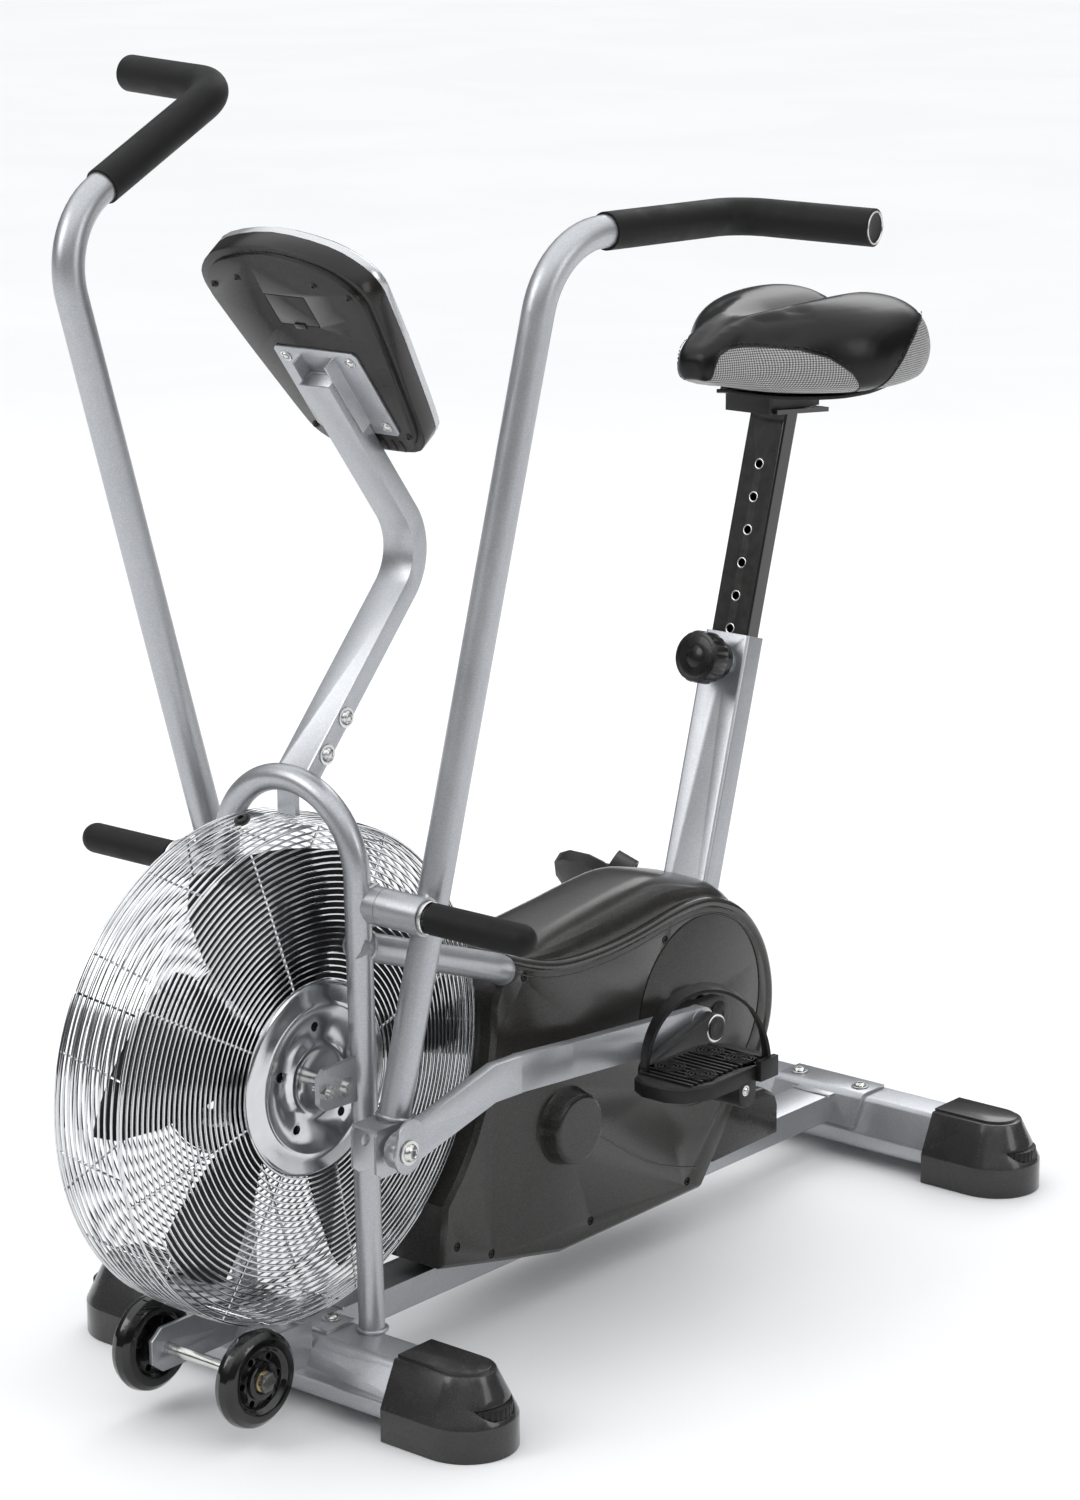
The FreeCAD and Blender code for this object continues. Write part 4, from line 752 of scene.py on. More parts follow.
@dataclass
class FanGuard:
    """Round chrome wire guard: two dished faces with pressed hub plates, and a rim band."""

    rim_radius: float = 253.5
    half: float = 44.0
    hub_radius: float = 97.8
    hub_face: float = 58.4
    face_rings: int = 25
    rim_rings: int = 11
    rays: int = 8
    wire: float = 1.25
    axis: Vector = field(default_factory=lambda: centre("fan_axle"))

    def dish(self, radius: float) -> float:
        """Distance of the face wires from the middle plane at a radius."""
        run = (self.rim_radius - radius) / (self.rim_radius - self.hub_radius)
        return self.half + (self.hub_face - self.half) * min(1.0, run) ** 0.8

    def face(self, side: int) -> Object:
        """Builds one dished face of rings and rays.

        Args:
            side: 1 for the rider's left, -1 for the right.

        Returns:
            The joined wires.
        """
        parts = []
        for i in range(self.face_rings):
            share = i / (self.face_rings - 1)
            radius = self.hub_radius + 2 + (self.rim_radius - 3 - self.hub_radius - 2) * share
            spot = self.axis + Vector((side * self.dish(radius) / 1000, 0, 0))
            parts.append(self.ring(spot, radius))
        for i in range(self.rays):
            angle = math.tau * (i + 0.35) / self.rays
            line = []
            for k in range(9):
                radius = self.hub_radius - 8 + (self.rim_radius - 1.5 - self.hub_radius + 8) * k / 8
                x = side * (self.dish(radius) - 2.0)
                line.append(self.spot(x, radius, angle))
            parts.append(Bench.wire("ray", line, self.wire / 1000 * 1.1, sides=1))
        return Bench.join("guard_face_" + ("left" if side > 0 else "right"), parts)

    def spot(self, x: float, radius: float, angle: float) -> Vector:
        """Point round the fan axis, from millimetres."""
        return self.axis + Vector((x, radius * math.cos(angle), radius * math.sin(angle))) / 1000

    def ring(self, place: Vector, radius: float) -> Object:
        """One drawn ring of wire round the fan axis."""
        Bench.clear()
        bpy.ops.mesh.primitive_torus_add(major_segments=112, minor_segments=6, major_radius=radius / 1000,
                                         minor_radius=self.wire / 1000)
        return Bench.aim(bpy.context.object, place, Vector((1, 0, 0)))

    def hub_plate(self, side: int) -> Object:
        """Pressed plate with a rolled edge and two raised rings, punched with five holes."""
        outline = [(6, 57.6), (26, 57.6), (30, 61.4), (38, 61.8), (41, 59.2), (68, 59.0), (73, 63.0), (79, 63.4),
                   (83, 60.0), (94, 60.0), (97.4, 58.2), (98.4, 56.2), (97.2, 55.6), (95.5, 57.8), (82, 58.6),
                   (78, 62.0), (74, 61.6), (69, 57.8), (42, 58.0), (38, 60.4), (31, 60.2), (27, 56.4), (6, 56.4)]
        plate = Bench.lathe("hub_plate_" + ("left" if side > 0 else "right"), outline, self.axis,
                            Vector((side, 0, 0)), 96)
        for i in range(5):
            Bench.clear()
            bpy.ops.mesh.primitive_cylinder_add(vertices=20, radius=0.005, depth=0.03)
            punch = Bench.aim(bpy.context.object, self.spot(side * 60, 54, math.radians(72 * i + 20)),
                              Vector((1, 0, 0)))
            Bench.modify(plate, "BOOLEAN", object=punch, operation="DIFFERENCE", solver="EXACT")
            bpy.data.objects.remove(punch)
        return plate

    def rim(self) -> Object:
        """Builds the rim band: parallel rings and slanting tie wires."""
        parts = []
        for i in range(self.rim_rings):
            x = -self.half + 3 + (2 * self.half - 6) * i / (self.rim_rings - 1)
            swell = 1.6 * (1 - (x / self.half) ** 2)
            place = self.axis + Vector((x / 1000, 0, 0))
            parts.append(self.cut_ring(place, self.rim_radius - 2.8 + swell, x))
        for i in range(16):
            angle = math.tau * (i + 0.35) / 16
            if -0.95 < angle - math.tau < -0.15:
                continue
            line = [self.spot(-self.half + 1 + (2 * self.half - 2) * k / 6, self.rim_radius - 4.0,
                              angle + 0.05 * (k / 6 - 0.5)) for k in range(7)]
            parts.append(Bench.wire("tie", line, self.wire / 1000, sides=1))
        return Bench.join("guard_rim", parts)

    def cut_ring(self, place: Vector, radius: float, x: float) -> Object:
        """A rim ring, left open where the fan belt passes through."""
        if not -47 < x < -21:
            return self.ring(place, radius)
        gap = (math.radians(-52), math.radians(-8))
        line = []
        steps = 96
        for i in range(steps + 1):
            angle = gap[1] + (math.tau - (gap[1] - gap[0])) * i / steps
            line.append(Vector((place.x, place.y + radius / 1000 * math.cos(angle),
                                place.z + radius / 1000 * math.sin(angle))))
        return Bench.wire("open_ring", line, self.wire / 1000, sides=1)

    def build(self) -> None:
        """Builds and dresses the guard in place of its plain CAD ribs."""
        for side, name in ((1, "cage_left"), (-1, "cage_right")):
            wires = self.face(side)
            if side < 0:
                wires = self.open_belt_way(wires)
            Bench.finish(wires, "frame", "guard", "guard_chrome", 60)
            Bench.finish(self.hub_plate(side), "frame", "plate", "guard_chrome", 50)
            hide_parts(name)
        rim = Bench.finish(self.rim(), "frame", "guard", "guard_chrome", 60)
        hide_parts("cage_rim")
        top = self.spot(-12, self.rim_radius + 1.5, math.radians(95))
        Bench.finish(Bench.bolt_head("guard_clip_bolt", top, Vector((0, -0.5, 0.8)), 6.5), "frame", "black")

    def open_belt_way(self, wires: Object) -> Object:
        """Takes away the wires in front of the fan belt."""
        Bench.take(wires)
        low, high = mm(-80, 98.5, 170), mm(-22, 278.5, 320)
        keep = bmesh.new()
        keep.from_mesh(wires.data)
        gone = [v for v in keep.verts if all(low[k] < v.co[k] < high[k] for k in range(3)) and v.co.x < -0.0440
                and abs(v.co.x) < 0.047]
        bmesh.ops.delete(keep, geom=gone, context="VERTS")
        bmesh.ops.holes_fill(keep, edges=[e for e in keep.edges if e.is_boundary], sides=12)
        keep.to_mesh(wires.data)
        keep.free()
        return wires


@dataclass
class Frame:
    """Welded steel frame: base, fork, tubes and their beads."""

    leg_x: float = 88.0
    peg: tuple[float, float] = PEG

    def build(self) -> None:
        """Rounds the sharp pressed parts and lays the welds."""
        for node, width in (("main_beam", 2.2), ("mid_post", 1.5), ("rear_stabilizer", 0.8),
                            ("front_stabilizer", 1.2), ("seat_tube", 0.8), ("console_bracket", 0.6)):
            Bench.soften(node, "frame", "silver", "frame_paint", width)
        Bench.soften("console_mast", "frame", "silver", "frame_paint", 2.6, 60.0)
        self.welds()
        self.bolts()

    def welds(self) -> None:
        """Lays a bead at each joint of the tubes."""
        beads = []
        for side in (1, -1):
            x = side * self.leg_x
            beads.append(self.stub_bead(side))
            foot = mm(x, 20.5, 76)
            beads.append(Bench.weld("bead", circle(foot, Vector((0, 0, 1)), 0.0142, 28), 0.0024))
            way = Vector((0, 0.943, -0.333))
            spot = mm(x, 4, 479) + way * 0.0165
            beads.append(Bench.weld("bead", circle(spot, way, 0.0149, 28), 0.0022))
        Bench.finish(Bench.join("frame_welds", beads), "frame", "silver", "frame_paint", 60)
        square = []
        for y in (44.5, 877.3):
            line = [mm(-25, y, 71), mm(-25, y, 73), mm(25, y, 73), mm(25, y, 71)]
            square.append(Bench.wire("seam", line, 0.0022, sides=2))
        Bench.finish(Bench.join("beam_welds", square), "frame", "silver", "frame_paint", 60)

    def stub_bead(self, side: int) -> Object:
        """Bead where a peg stub saddles its fork leg."""
        y, z = self.peg
        line = []
        for i in range(36):
            a = math.tau * i / 36
            dy = 19.4 * math.cos(a)
            reach = math.sqrt(max(0.0, 13.25 ** 2 - min(abs(dy + 1.0), 13.0) ** 2))
            line.append(mm(side * (self.leg_x + max(reach, 1.5)), y + dy, z + 19.4 * math.sin(a)))
        return Bench.weld("bead", line, 0.0022)

    def bolts(self) -> None:
        """Seats socket heads over the stabilizer, mast and plate bolts."""
        heads = []
        for x, y, top in ((44, 8, 78.2), (-44, 8, 78.2), (44, 915.8, 78.2), (-44, 915.8, 78.2)):
            heads.append(Bench.bolt_head("head", mm(x, y, top), Vector((0, 0, 1)), 7.4))
        done = Bench.finish(Bench.join("stabilizer_bolt_heads", heads), "frame", "zinc", "bright_zinc")
        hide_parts("stabilizer_bolts")
        heads = []
        for y, z in ((43, 650), (71, 682)):
            for side in (1, -1):
                heads.append(Bench.bolt_head("head", mm(side * 20.1, y, z), Vector((side, 0, 0)), 7.6))
        Bench.finish(Bench.join("mast_bolt_heads", heads), "frame", "zinc", "bright_zinc")
        self.mast_end()

    @staticmethod
    def mast_end() -> None:
        """Closes the mast's upper end with a sloped plate."""
        Bench.clear()
        bpy.ops.mesh.primitive_cube_add(size=1.0)
        plug = Bench.new("mast_end_plate")
        plug.scale = (0.0372, 0.0172, 0.004)
        Bench.settle(plug)
        for vertex in plug.data.vertices:
            vertex.co.z += vertex.co.y * 0.35
        along = Vector((0, -0.596, 0.803)).normalized()
        plug.matrix_world = (Matrix.Translation(mm(0, 64.5, 1014) - along * 0.006)
                             @ Matrix.Rotation(math.atan2(0.596, 0.803), 4, "X"))
        Bench.settle(plug)
        Bench.modify(plug, "BEVEL", width=0.0006, segments=2, limit_method="ANGLE")
        Bench.finish(plug, "frame", "silver")


@dataclass
class Foot:
    """Moulded end caps with their levelling thumb wheels."""

    def build(self) -> None:
        """Rounds the caps and the thumb wheels."""
        Bench.soften("end_caps", "frame", "cap", "cap_plastic", 3.2, 24.0)
        for end in ("front", "rear"):
            for side in ("left", "right"):
                node = f"leveller_{end}_{side}"
                Bench.soften(node, node, "plastic", "black_plastic", 0.5, 50.0)


@dataclass
class Covers:
    """Moulded drive covers with a glossy rolled rim."""

    rim: tuple[tuple[float, float], ...] = (
        (262, 400), (299, 385), (348, 373), (414, 371), (481, 377), (533, 386), (580, 389), (613, 383), (658, 362),
        (690, 326), (706, 288), (711, 251), (704, 214), (686, 180))
    crease: tuple[tuple[float, float], ...] = ((392, 176), (430, 150), (478, 118), (520, 96), (575, 80))
    face: float = 64.0

    def build(self) -> None:
        """Rounds the shells, rolls their upper rims and seats the screws."""
        Bench.soften("cover_left", "frame", "cover", "cover_plastic", 2.6, 26.0)
        Bench.soften("cover_right", "frame", "cover", "cover_plastic", 2.6, 26.0)
        Bench.soften("cover_rear", "frame", "cover", "cover_plastic", 2.0, 40.0)
        Bench.soften("cover_top", "frame", "cover", "cover_plastic", 5.0, 14.0)
        for side in (1, -1):
            word = "left" if side > 0 else "right"
            for name, path, inset, drop, radius, sides in (("lip", self.rim, 4.6, 6.2, 0.0068, 7),
                                                           ("bead", self.rim, 0.4, 17.0, 0.0011, 3),
                                                           ("crease", self.crease, 0.3, 0.0, 0.0012, 3)):
                line = [mm(side * (self.face - inset), y, z - drop) for y, z in path]
                edge = Bench.wire(f"cover_{name}_{word}", line, radius, sides=sides, smooth=True)
                Bench.finish(edge, "frame", "gloss", "cover_plastic", 70)
        screws = []
        for y, z in ((520, 356), (285, 372), (392, 72), (560, 68), (176, 108), (230, 84)):
            for side in (1, -1):
                screws.append(Bench.bolt_head("screw", mm(side * (self.face - 1.9), y, z), Vector((side, 0, 0)),
                                              3.3, 0.5))
        done = Bench.finish(Bench.join("cover_screw_heads", screws), "frame", "black", "bright_zinc")
        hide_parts("cover_screws")


@dataclass
class Pedals:
    """Pedals with ring treads, and straps with adjusting slots."""

    spindle: tuple[float, float] = (425.861, 245.589)

    def build(self) -> None:
        """Dresses both pedals; the far one is turned with its own body's rest attitude."""
        for side in ("left", "right"):
            body = "pedal_" + side
            Bench.soften("pedal_" + side, body, "plastic", "black_plastic", 0.9, 40.0)
            Bench.soften("strap_" + side, body, "rubber", "belt_rubber", 0.8, 40.0)
            self.tread(side)

    def place(self, side: str) -> Matrix:
        """Rest attitude of a pedal, from its own straight and level place."""
        y, z = self.spindle
        near = Matrix.Translation(mm(0, y, z))
        if side == "left":
            return near
        far_y, far_z = 2 * 582.0 - y, 2 * 262.0 - z
        turn = Matrix.Rotation(math.radians(-50.0), 4, "X")
        flip = Matrix.Scale(-1, 4, Vector((1, 0, 0)))
        return Matrix.Translation(mm(0, far_y, far_z)) @ turn @ flip

    def tread(self, side: str) -> None:
        """Adds the ring treads and the screw of one pedal, and its strap's slots."""
        rings = []
        for cx, cy in ((182, -46), (222, -46), (182, 20), (222, 20)):
            for r in (4, 8, 12, 15.5):
                rings.append(Bench.lathe("tread", [(r - 1, 0), (r + 1, 0), (r + 0.7, 1.6), (r - 0.7, 1.6)],
                                         Vector((cx, cy, 28.6)) / 1000, Vector((0, 0, 1)), 28))
        pads = Bench.join("pedal_tread_" + side, rings)
        body = "pedal_" + side
        self.seat(pads, side)
        Bench.finish(pads, body, "rubber", "black_plastic", 50)
        caps = Bench.bolt_head("pedal_screw_" + side, Vector((248.0, -4.0, 6.0)) / 1000, Vector((1, 0, 0)), 4.2, 0.5)
        self.seat(caps, side)
        Bench.finish(caps, body, "zinc")
        high = 86.0 if side == "left" else 48.0
        slots = [self.strap_slot(math.radians(8 + 8.4 * k), high) for k in range(6)]
        row = Bench.join("strap_slots_" + side, slots)
        self.seat(row, side)
        Bench.finish(row, body, "segment", "", 50)

    @staticmethod
    def strap_slot(angle: float, high: float) -> Object:
        """One dark adjusting slot let into the strap's outer face.

        Args:
            angle: its place round the strap's arch, from the outer end.
            high: the arch's height in millimetres.

        Returns:
            The settled slot.
        """
        p, q = Vector((162, -66, 27)), Vector((244, 40, 27))
        way, half = (q - p).normalized(), (q - p).length / 2
        out = way * math.cos(angle) / half + Vector((0, 0, 1)) * math.sin(angle) / high
        spot = (p + q) / 2 + way * half * math.cos(angle) + Vector((0, 0, 1)) * math.sin(angle) * high
        Bench.clear()
        bpy.ops.mesh.primitive_cylinder_add(vertices=16, radius=0.0028, depth=0.0012)
        return Bench.aim(bpy.context.object, spot / 1000, out)

    def seat(self, piece: Object, side: str) -> None:
        """Moves a piece made about the spindle to its pedal."""
        piece.data.transform(self.place(side))
        if side == "right":
            piece.data.flip_normals()


@dataclass
class Arms:
    """Arm levers, link bars and pegs with their bolts, welds and grips."""

    peg: tuple[float, float] = PEG
    clevis: tuple[float, float] = (-18.0, 292.0)
    turn: float = 25.5
    grip_end: tuple[float, float, float] = (349.4, 482.0, 1145.6)
    grip_way: tuple[float, float, float] = (0.98858, 0.14715, -0.02943)

    def lever_place(self, side: int) -> Matrix:
        """Moves a piece made for the left lever to either lever."""
        if side > 0:
            return Matrix.Identity(4)
        pivot = mm(0, *self.peg)
        turn = Matrix.Translation(pivot) @ Matrix.Rotation(math.radians(self.turn), 4, "X")
        return turn @ Matrix.Translation(-pivot) @ Matrix.Scale(-1, 4, Vector((1, 0, 0)))

    def seat(self, piece: Object, side: int) -> Object:
        """Puts a piece made for the left side on either side."""
        piece.data.transform(self.lever_place(side))
        if side < 0:
            piece.data.flip_normals()
        return piece

    def build(self) -> None:
        """Dresses both levers and both links."""
        for side, word in ((1, "left"), (-1, "right")):
            Bench.soften("link_" + word, "link_" + word, "silver", "frame_paint", 1.6, 40.0)
            self.grip_cap(side, word)
            self.lever_welds(side, word)
            self.peg_plug(side, word)
        self.link_bolts()

    def grip_cap(self, side: int, word: str) -> None:
        """Adds the ring and the disc at a grip's end."""
        way = Vector(self.grip_way)
        spot = mm(*self.grip_end)
        disc = Bench.lathe("grip_disc_" + word, [(0, 2.6), (12.5, 2.6), (14.0, 2.9), (15.0, 3.6), (16.2, 3.7),
                                                 (17.4, 3.0), (18.2, 1.2), (18.0, 0.2), (0, 0.2)], spot, way, 48)
        Bench.finish(self.seat(disc, side), "lever_" + word, "plastic", "foam")
        ring = Bench.lathe("grip_ring_" + word, [(14.2, 2.6), (16.6, 2.6), (16.4, 4.1), (15.0, 4.2)], spot, way, 48)
        Bench.finish(self.seat(ring, side), "lever_" + word, "zinc")

    def lever_welds(self, side: int, word: str) -> None:
        """Beads where the sleeve and the clevis meet the tube."""
        y, z = self.peg
        beads = []
        for x in (131.0, 161.5):
            line = []
            for i in range(9):
                a = math.radians(-12 + 10 * i)
                line.append(mm(x, y + 19.6 * math.cos(a), z + 19.6 * math.sin(a)))
            beads.append(Bench.wire("bead", line, 0.0022, sides=2))
        foot = mm(133.5, 7.6, 312.8)
        beads.append(Bench.weld("bead", circle(foot, Vector((0.06, 0.21, 1)), 0.0166, 32), 0.0022))
        piece = self.seat(Bench.join("lever_welds_" + word, beads), side)
        Bench.finish(piece, "lever_" + word, "silver", "frame_paint", 60)

    def peg_plug(self, side: int, word: str) -> None:
        """Zinc retaining ring between a lever's sleeve and its peg foam."""
        low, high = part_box("peg_foams")
        x = side * 0.1686
        outline = [(12.2, 0), (16.6, 0), (17.2, 0.8), (17.2, 3.6), (16.4, 4.6), (12.2, 4.6)]
        ring = Bench.lathe("peg_ring_" + word, outline, Vector((x, (low.y + high.y) / 2, (low.z + high.z) / 2)),
                           Vector((side, 0, 0)), 40)
        Bench.finish(ring, "frame", "zinc", "bright_zinc")

    def link_bolts(self) -> None:
        """Seats socket heads on the link eyes, in each link's own attitude."""
        for word, side in (("left", 1), ("right", -1)):
            joint = next(j for j in frame["joints"] if j["name"] == f"link_{word}_turn")
            pin = Vector(joint["pos_m"])
            y, z = self.clevis
            spot = mm(side * 176.2, y, z)
            if side < 0:
                near = Vector(next(j for j in frame["joints"] if j["name"] == "link_left_turn")["pos_m"])
                swing = Matrix.Rotation(math.radians(self.swing(near, pin)), 3, "X")
                offset = spot - Vector((spot.x, near.y, near.z))
                spot = Vector((spot.x, pin.y, pin.z)) + swing @ Vector((0, offset.y, offset.z))
            head = Bench.bolt_head("link_bolt_" + word, spot, Vector((side, 0, 0)), 9.0)
            Bench.finish(head, "link_" + word, "zinc")
            self.dust_cap(word, side, pin)

    @staticmethod
    def dust_cap(word: str, side: int, pin: Vector) -> None:
        """Black cap with two small tool holes over a crank's link pin, and a bright ring under it."""
        out, spot = Vector((side, 0, 0)), Vector((side * 0.1262, pin.y, pin.z))
        cap = Bench.lathe("pin_cap_" + word, [(0, 0), (13, 0), (13, 1.2), (12, 2.6), (9, 3.4), (7.5, 3.0), (0, 3.0)],
                          spot, out, 40)
        Bench.finish(cap, "crank", "plastic")
        holes = []
        for way in (1, -1):
            holes.append(Bench.lathe("hole", [(0, 2.8), (1.7, 2.8), (1.7, 3.12), (0, 3.12)],
                                     spot + Vector((0, 0.0035, 0.0035)) * way, out, 16))
        Bench.finish(Bench.join("pin_cap_holes_" + word, holes), "crank", "rotor")
        ring = Bench.lathe("pin_ring_" + word, [(13.2, -1.2), (15.6, -1.2), (15.6, 0.2), (15.0, 0.9), (13.2, 0.9)],
                           spot, out, 40)
        Bench.finish(ring, "crank", "zinc")

    def swing(self, near: Vector, far: Vector) -> float:
        """Angle in degrees that the right link lies from the left one's."""
        y, z = self.clevis
        tip = mm(0, y, z)
        pivot = mm(0, *self.peg)
        turned = Matrix.Rotation(math.radians(self.turn), 3, "X") @ (tip - pivot) + pivot
        first = math.atan2(near.z - tip.z, near.y - tip.y)
        second = math.atan2(far.z - turned.z, far.y - turned.y)
        return math.degrees(second - first)


@dataclass
class Console:
    """Display head: ribbed back shell, screws, generic read-outs and buttons."""

    origin: tuple[float, float, float] = (0.0, 88.0, 1000.0)
    normal: Vector = field(default_factory=lambda: Vector((0, 0.803, 0.596)).normalized())

    def at(self, x: float, w: float, n: float) -> Vector:
        """Point on the console: across, up its face and out along its normal, in millimetres."""
        up = Vector((0, -self.normal.z, self.normal.y))
        return mm(*self.origin) + (Vector((x, 0, 0)) + up * w + self.normal * n) / 1000

    def strip(self, name: str, corners: list[tuple[float, float]], low: float, high: float) -> Object:
        """Flat moulding with the given outline on the console, its outer edge rolled.

        Args:
            name: the piece's name.
            corners: outline as (across, up) in millimetres.
            low: its near face along the normal.
            high: its far face.

        Returns:
            The settled moulding.
        """
        Bench.clear()
        bpy.ops.mesh.primitive_circle_add(vertices=len(corners), radius=1, fill_type="NGON")
        piece = Bench.new(name)
        for vertex, (x, w) in zip(piece.data.vertices, corners):
            vertex.co = self.at(x, w, low)
        bpy.ops.object.mode_set(mode="EDIT")
        bpy.ops.mesh.select_all(action="SELECT")
        step = self.normal * (high - low) / 1000
        bpy.ops.mesh.extrude_region_move(TRANSFORM_OT_translate={"value": step})
        bpy.ops.mesh.select_all(action="SELECT")
        bpy.ops.mesh.normals_make_consistent(inside=False)
        bpy.ops.object.mode_set(mode="OBJECT")
        return Bench.modify(piece, "BEVEL", width=0.0004, segments=2, limit_method="ANGLE")

    def build(self) -> None:
        """Dresses the console."""
        Bench.soften("console_back", "frame", "console", "console_plastic", 2.2, 35.0)
        Bench.soften("console_front", "frame", "bezel", "bezel_silver", 1.2, 35.0)
        Bench.soften("battery_door", "frame", "console", "console_plastic", 0.6, 35.0)
        screws = []
        for x, w in ((62, -56), (-62, -56), (88, 128), (-88, 128), (50, 140), (-50, 140)):
            screws.append(Bench.bolt_head("screw", self.at(x, w, 2.4), -self.normal, 3.0, 0.5))
        Bench.finish(Bench.join("console_back_screws", screws), "frame", "black")
        heads = []
        for x in (42, -42):
            for w in (42, -42):
                heads.append(Bench.bolt_head("head", self.at(x, w, -0.1), -self.normal, 4.6, 0.5))
        Bench.finish(Bench.join("plate_screws", heads), "frame", "zinc", "bright_zinc")
        ridges = [self.strip("ridge", [(-44 + 11 * i, -78), (-41 + 11 * i, -78), (-41 + 11 * i, -64),
                                       (-44 + 11 * i, -64)], 1.6, 3.0) for i in range(9)]
        Bench.finish(Bench.join("console_vent_ribs", ridges), "frame", "console")
        latch = self.strip("door_latch", [(-7, 80), (7, 80), (7, 86), (-7, 86)], 1.4, 3.4)
        Bench.finish(latch, "frame", "console")
        self.read_outs()

    def read_outs(self) -> None:
        """Seven-bar zeros and small printed bars, with no words."""
        bars = []
        for row, w in enumerate((52, 76, 98)):
            for col in range(4):
                x = -38 + 20 * col + (4 if row == 1 else 0)
                for ex, ew, tall in ((-3.4, 0, True), (3.4, 0, True), (0, 6.2, False), (0, -6.2, False)):
                    half = (0.7, 5.2) if tall else (2.6, 0.7)
                    corners = [(x + ex - half[0], w + ew - half[1]), (x + ex + half[0], w + ew - half[1]),
                               (x + ex + half[0], w + ew + half[1]), (x + ex - half[0], w + ew + half[1])]
                    bars.append(self.strip("bar", corners, 36.6, 37.3))
        Bench.finish(Bench.join("display_bars", bars), "frame", "segment")
        prints = []
        for x in (-34, 34):
            corners = [(x - 7, -45), (x + 7, -45), (x + 7, -43), (x - 7, -43)]
            prints.append(self.strip("mark", corners, 37.8, 38.2))
        Bench.finish(Bench.join("button_marks", prints), "frame", "ivory")


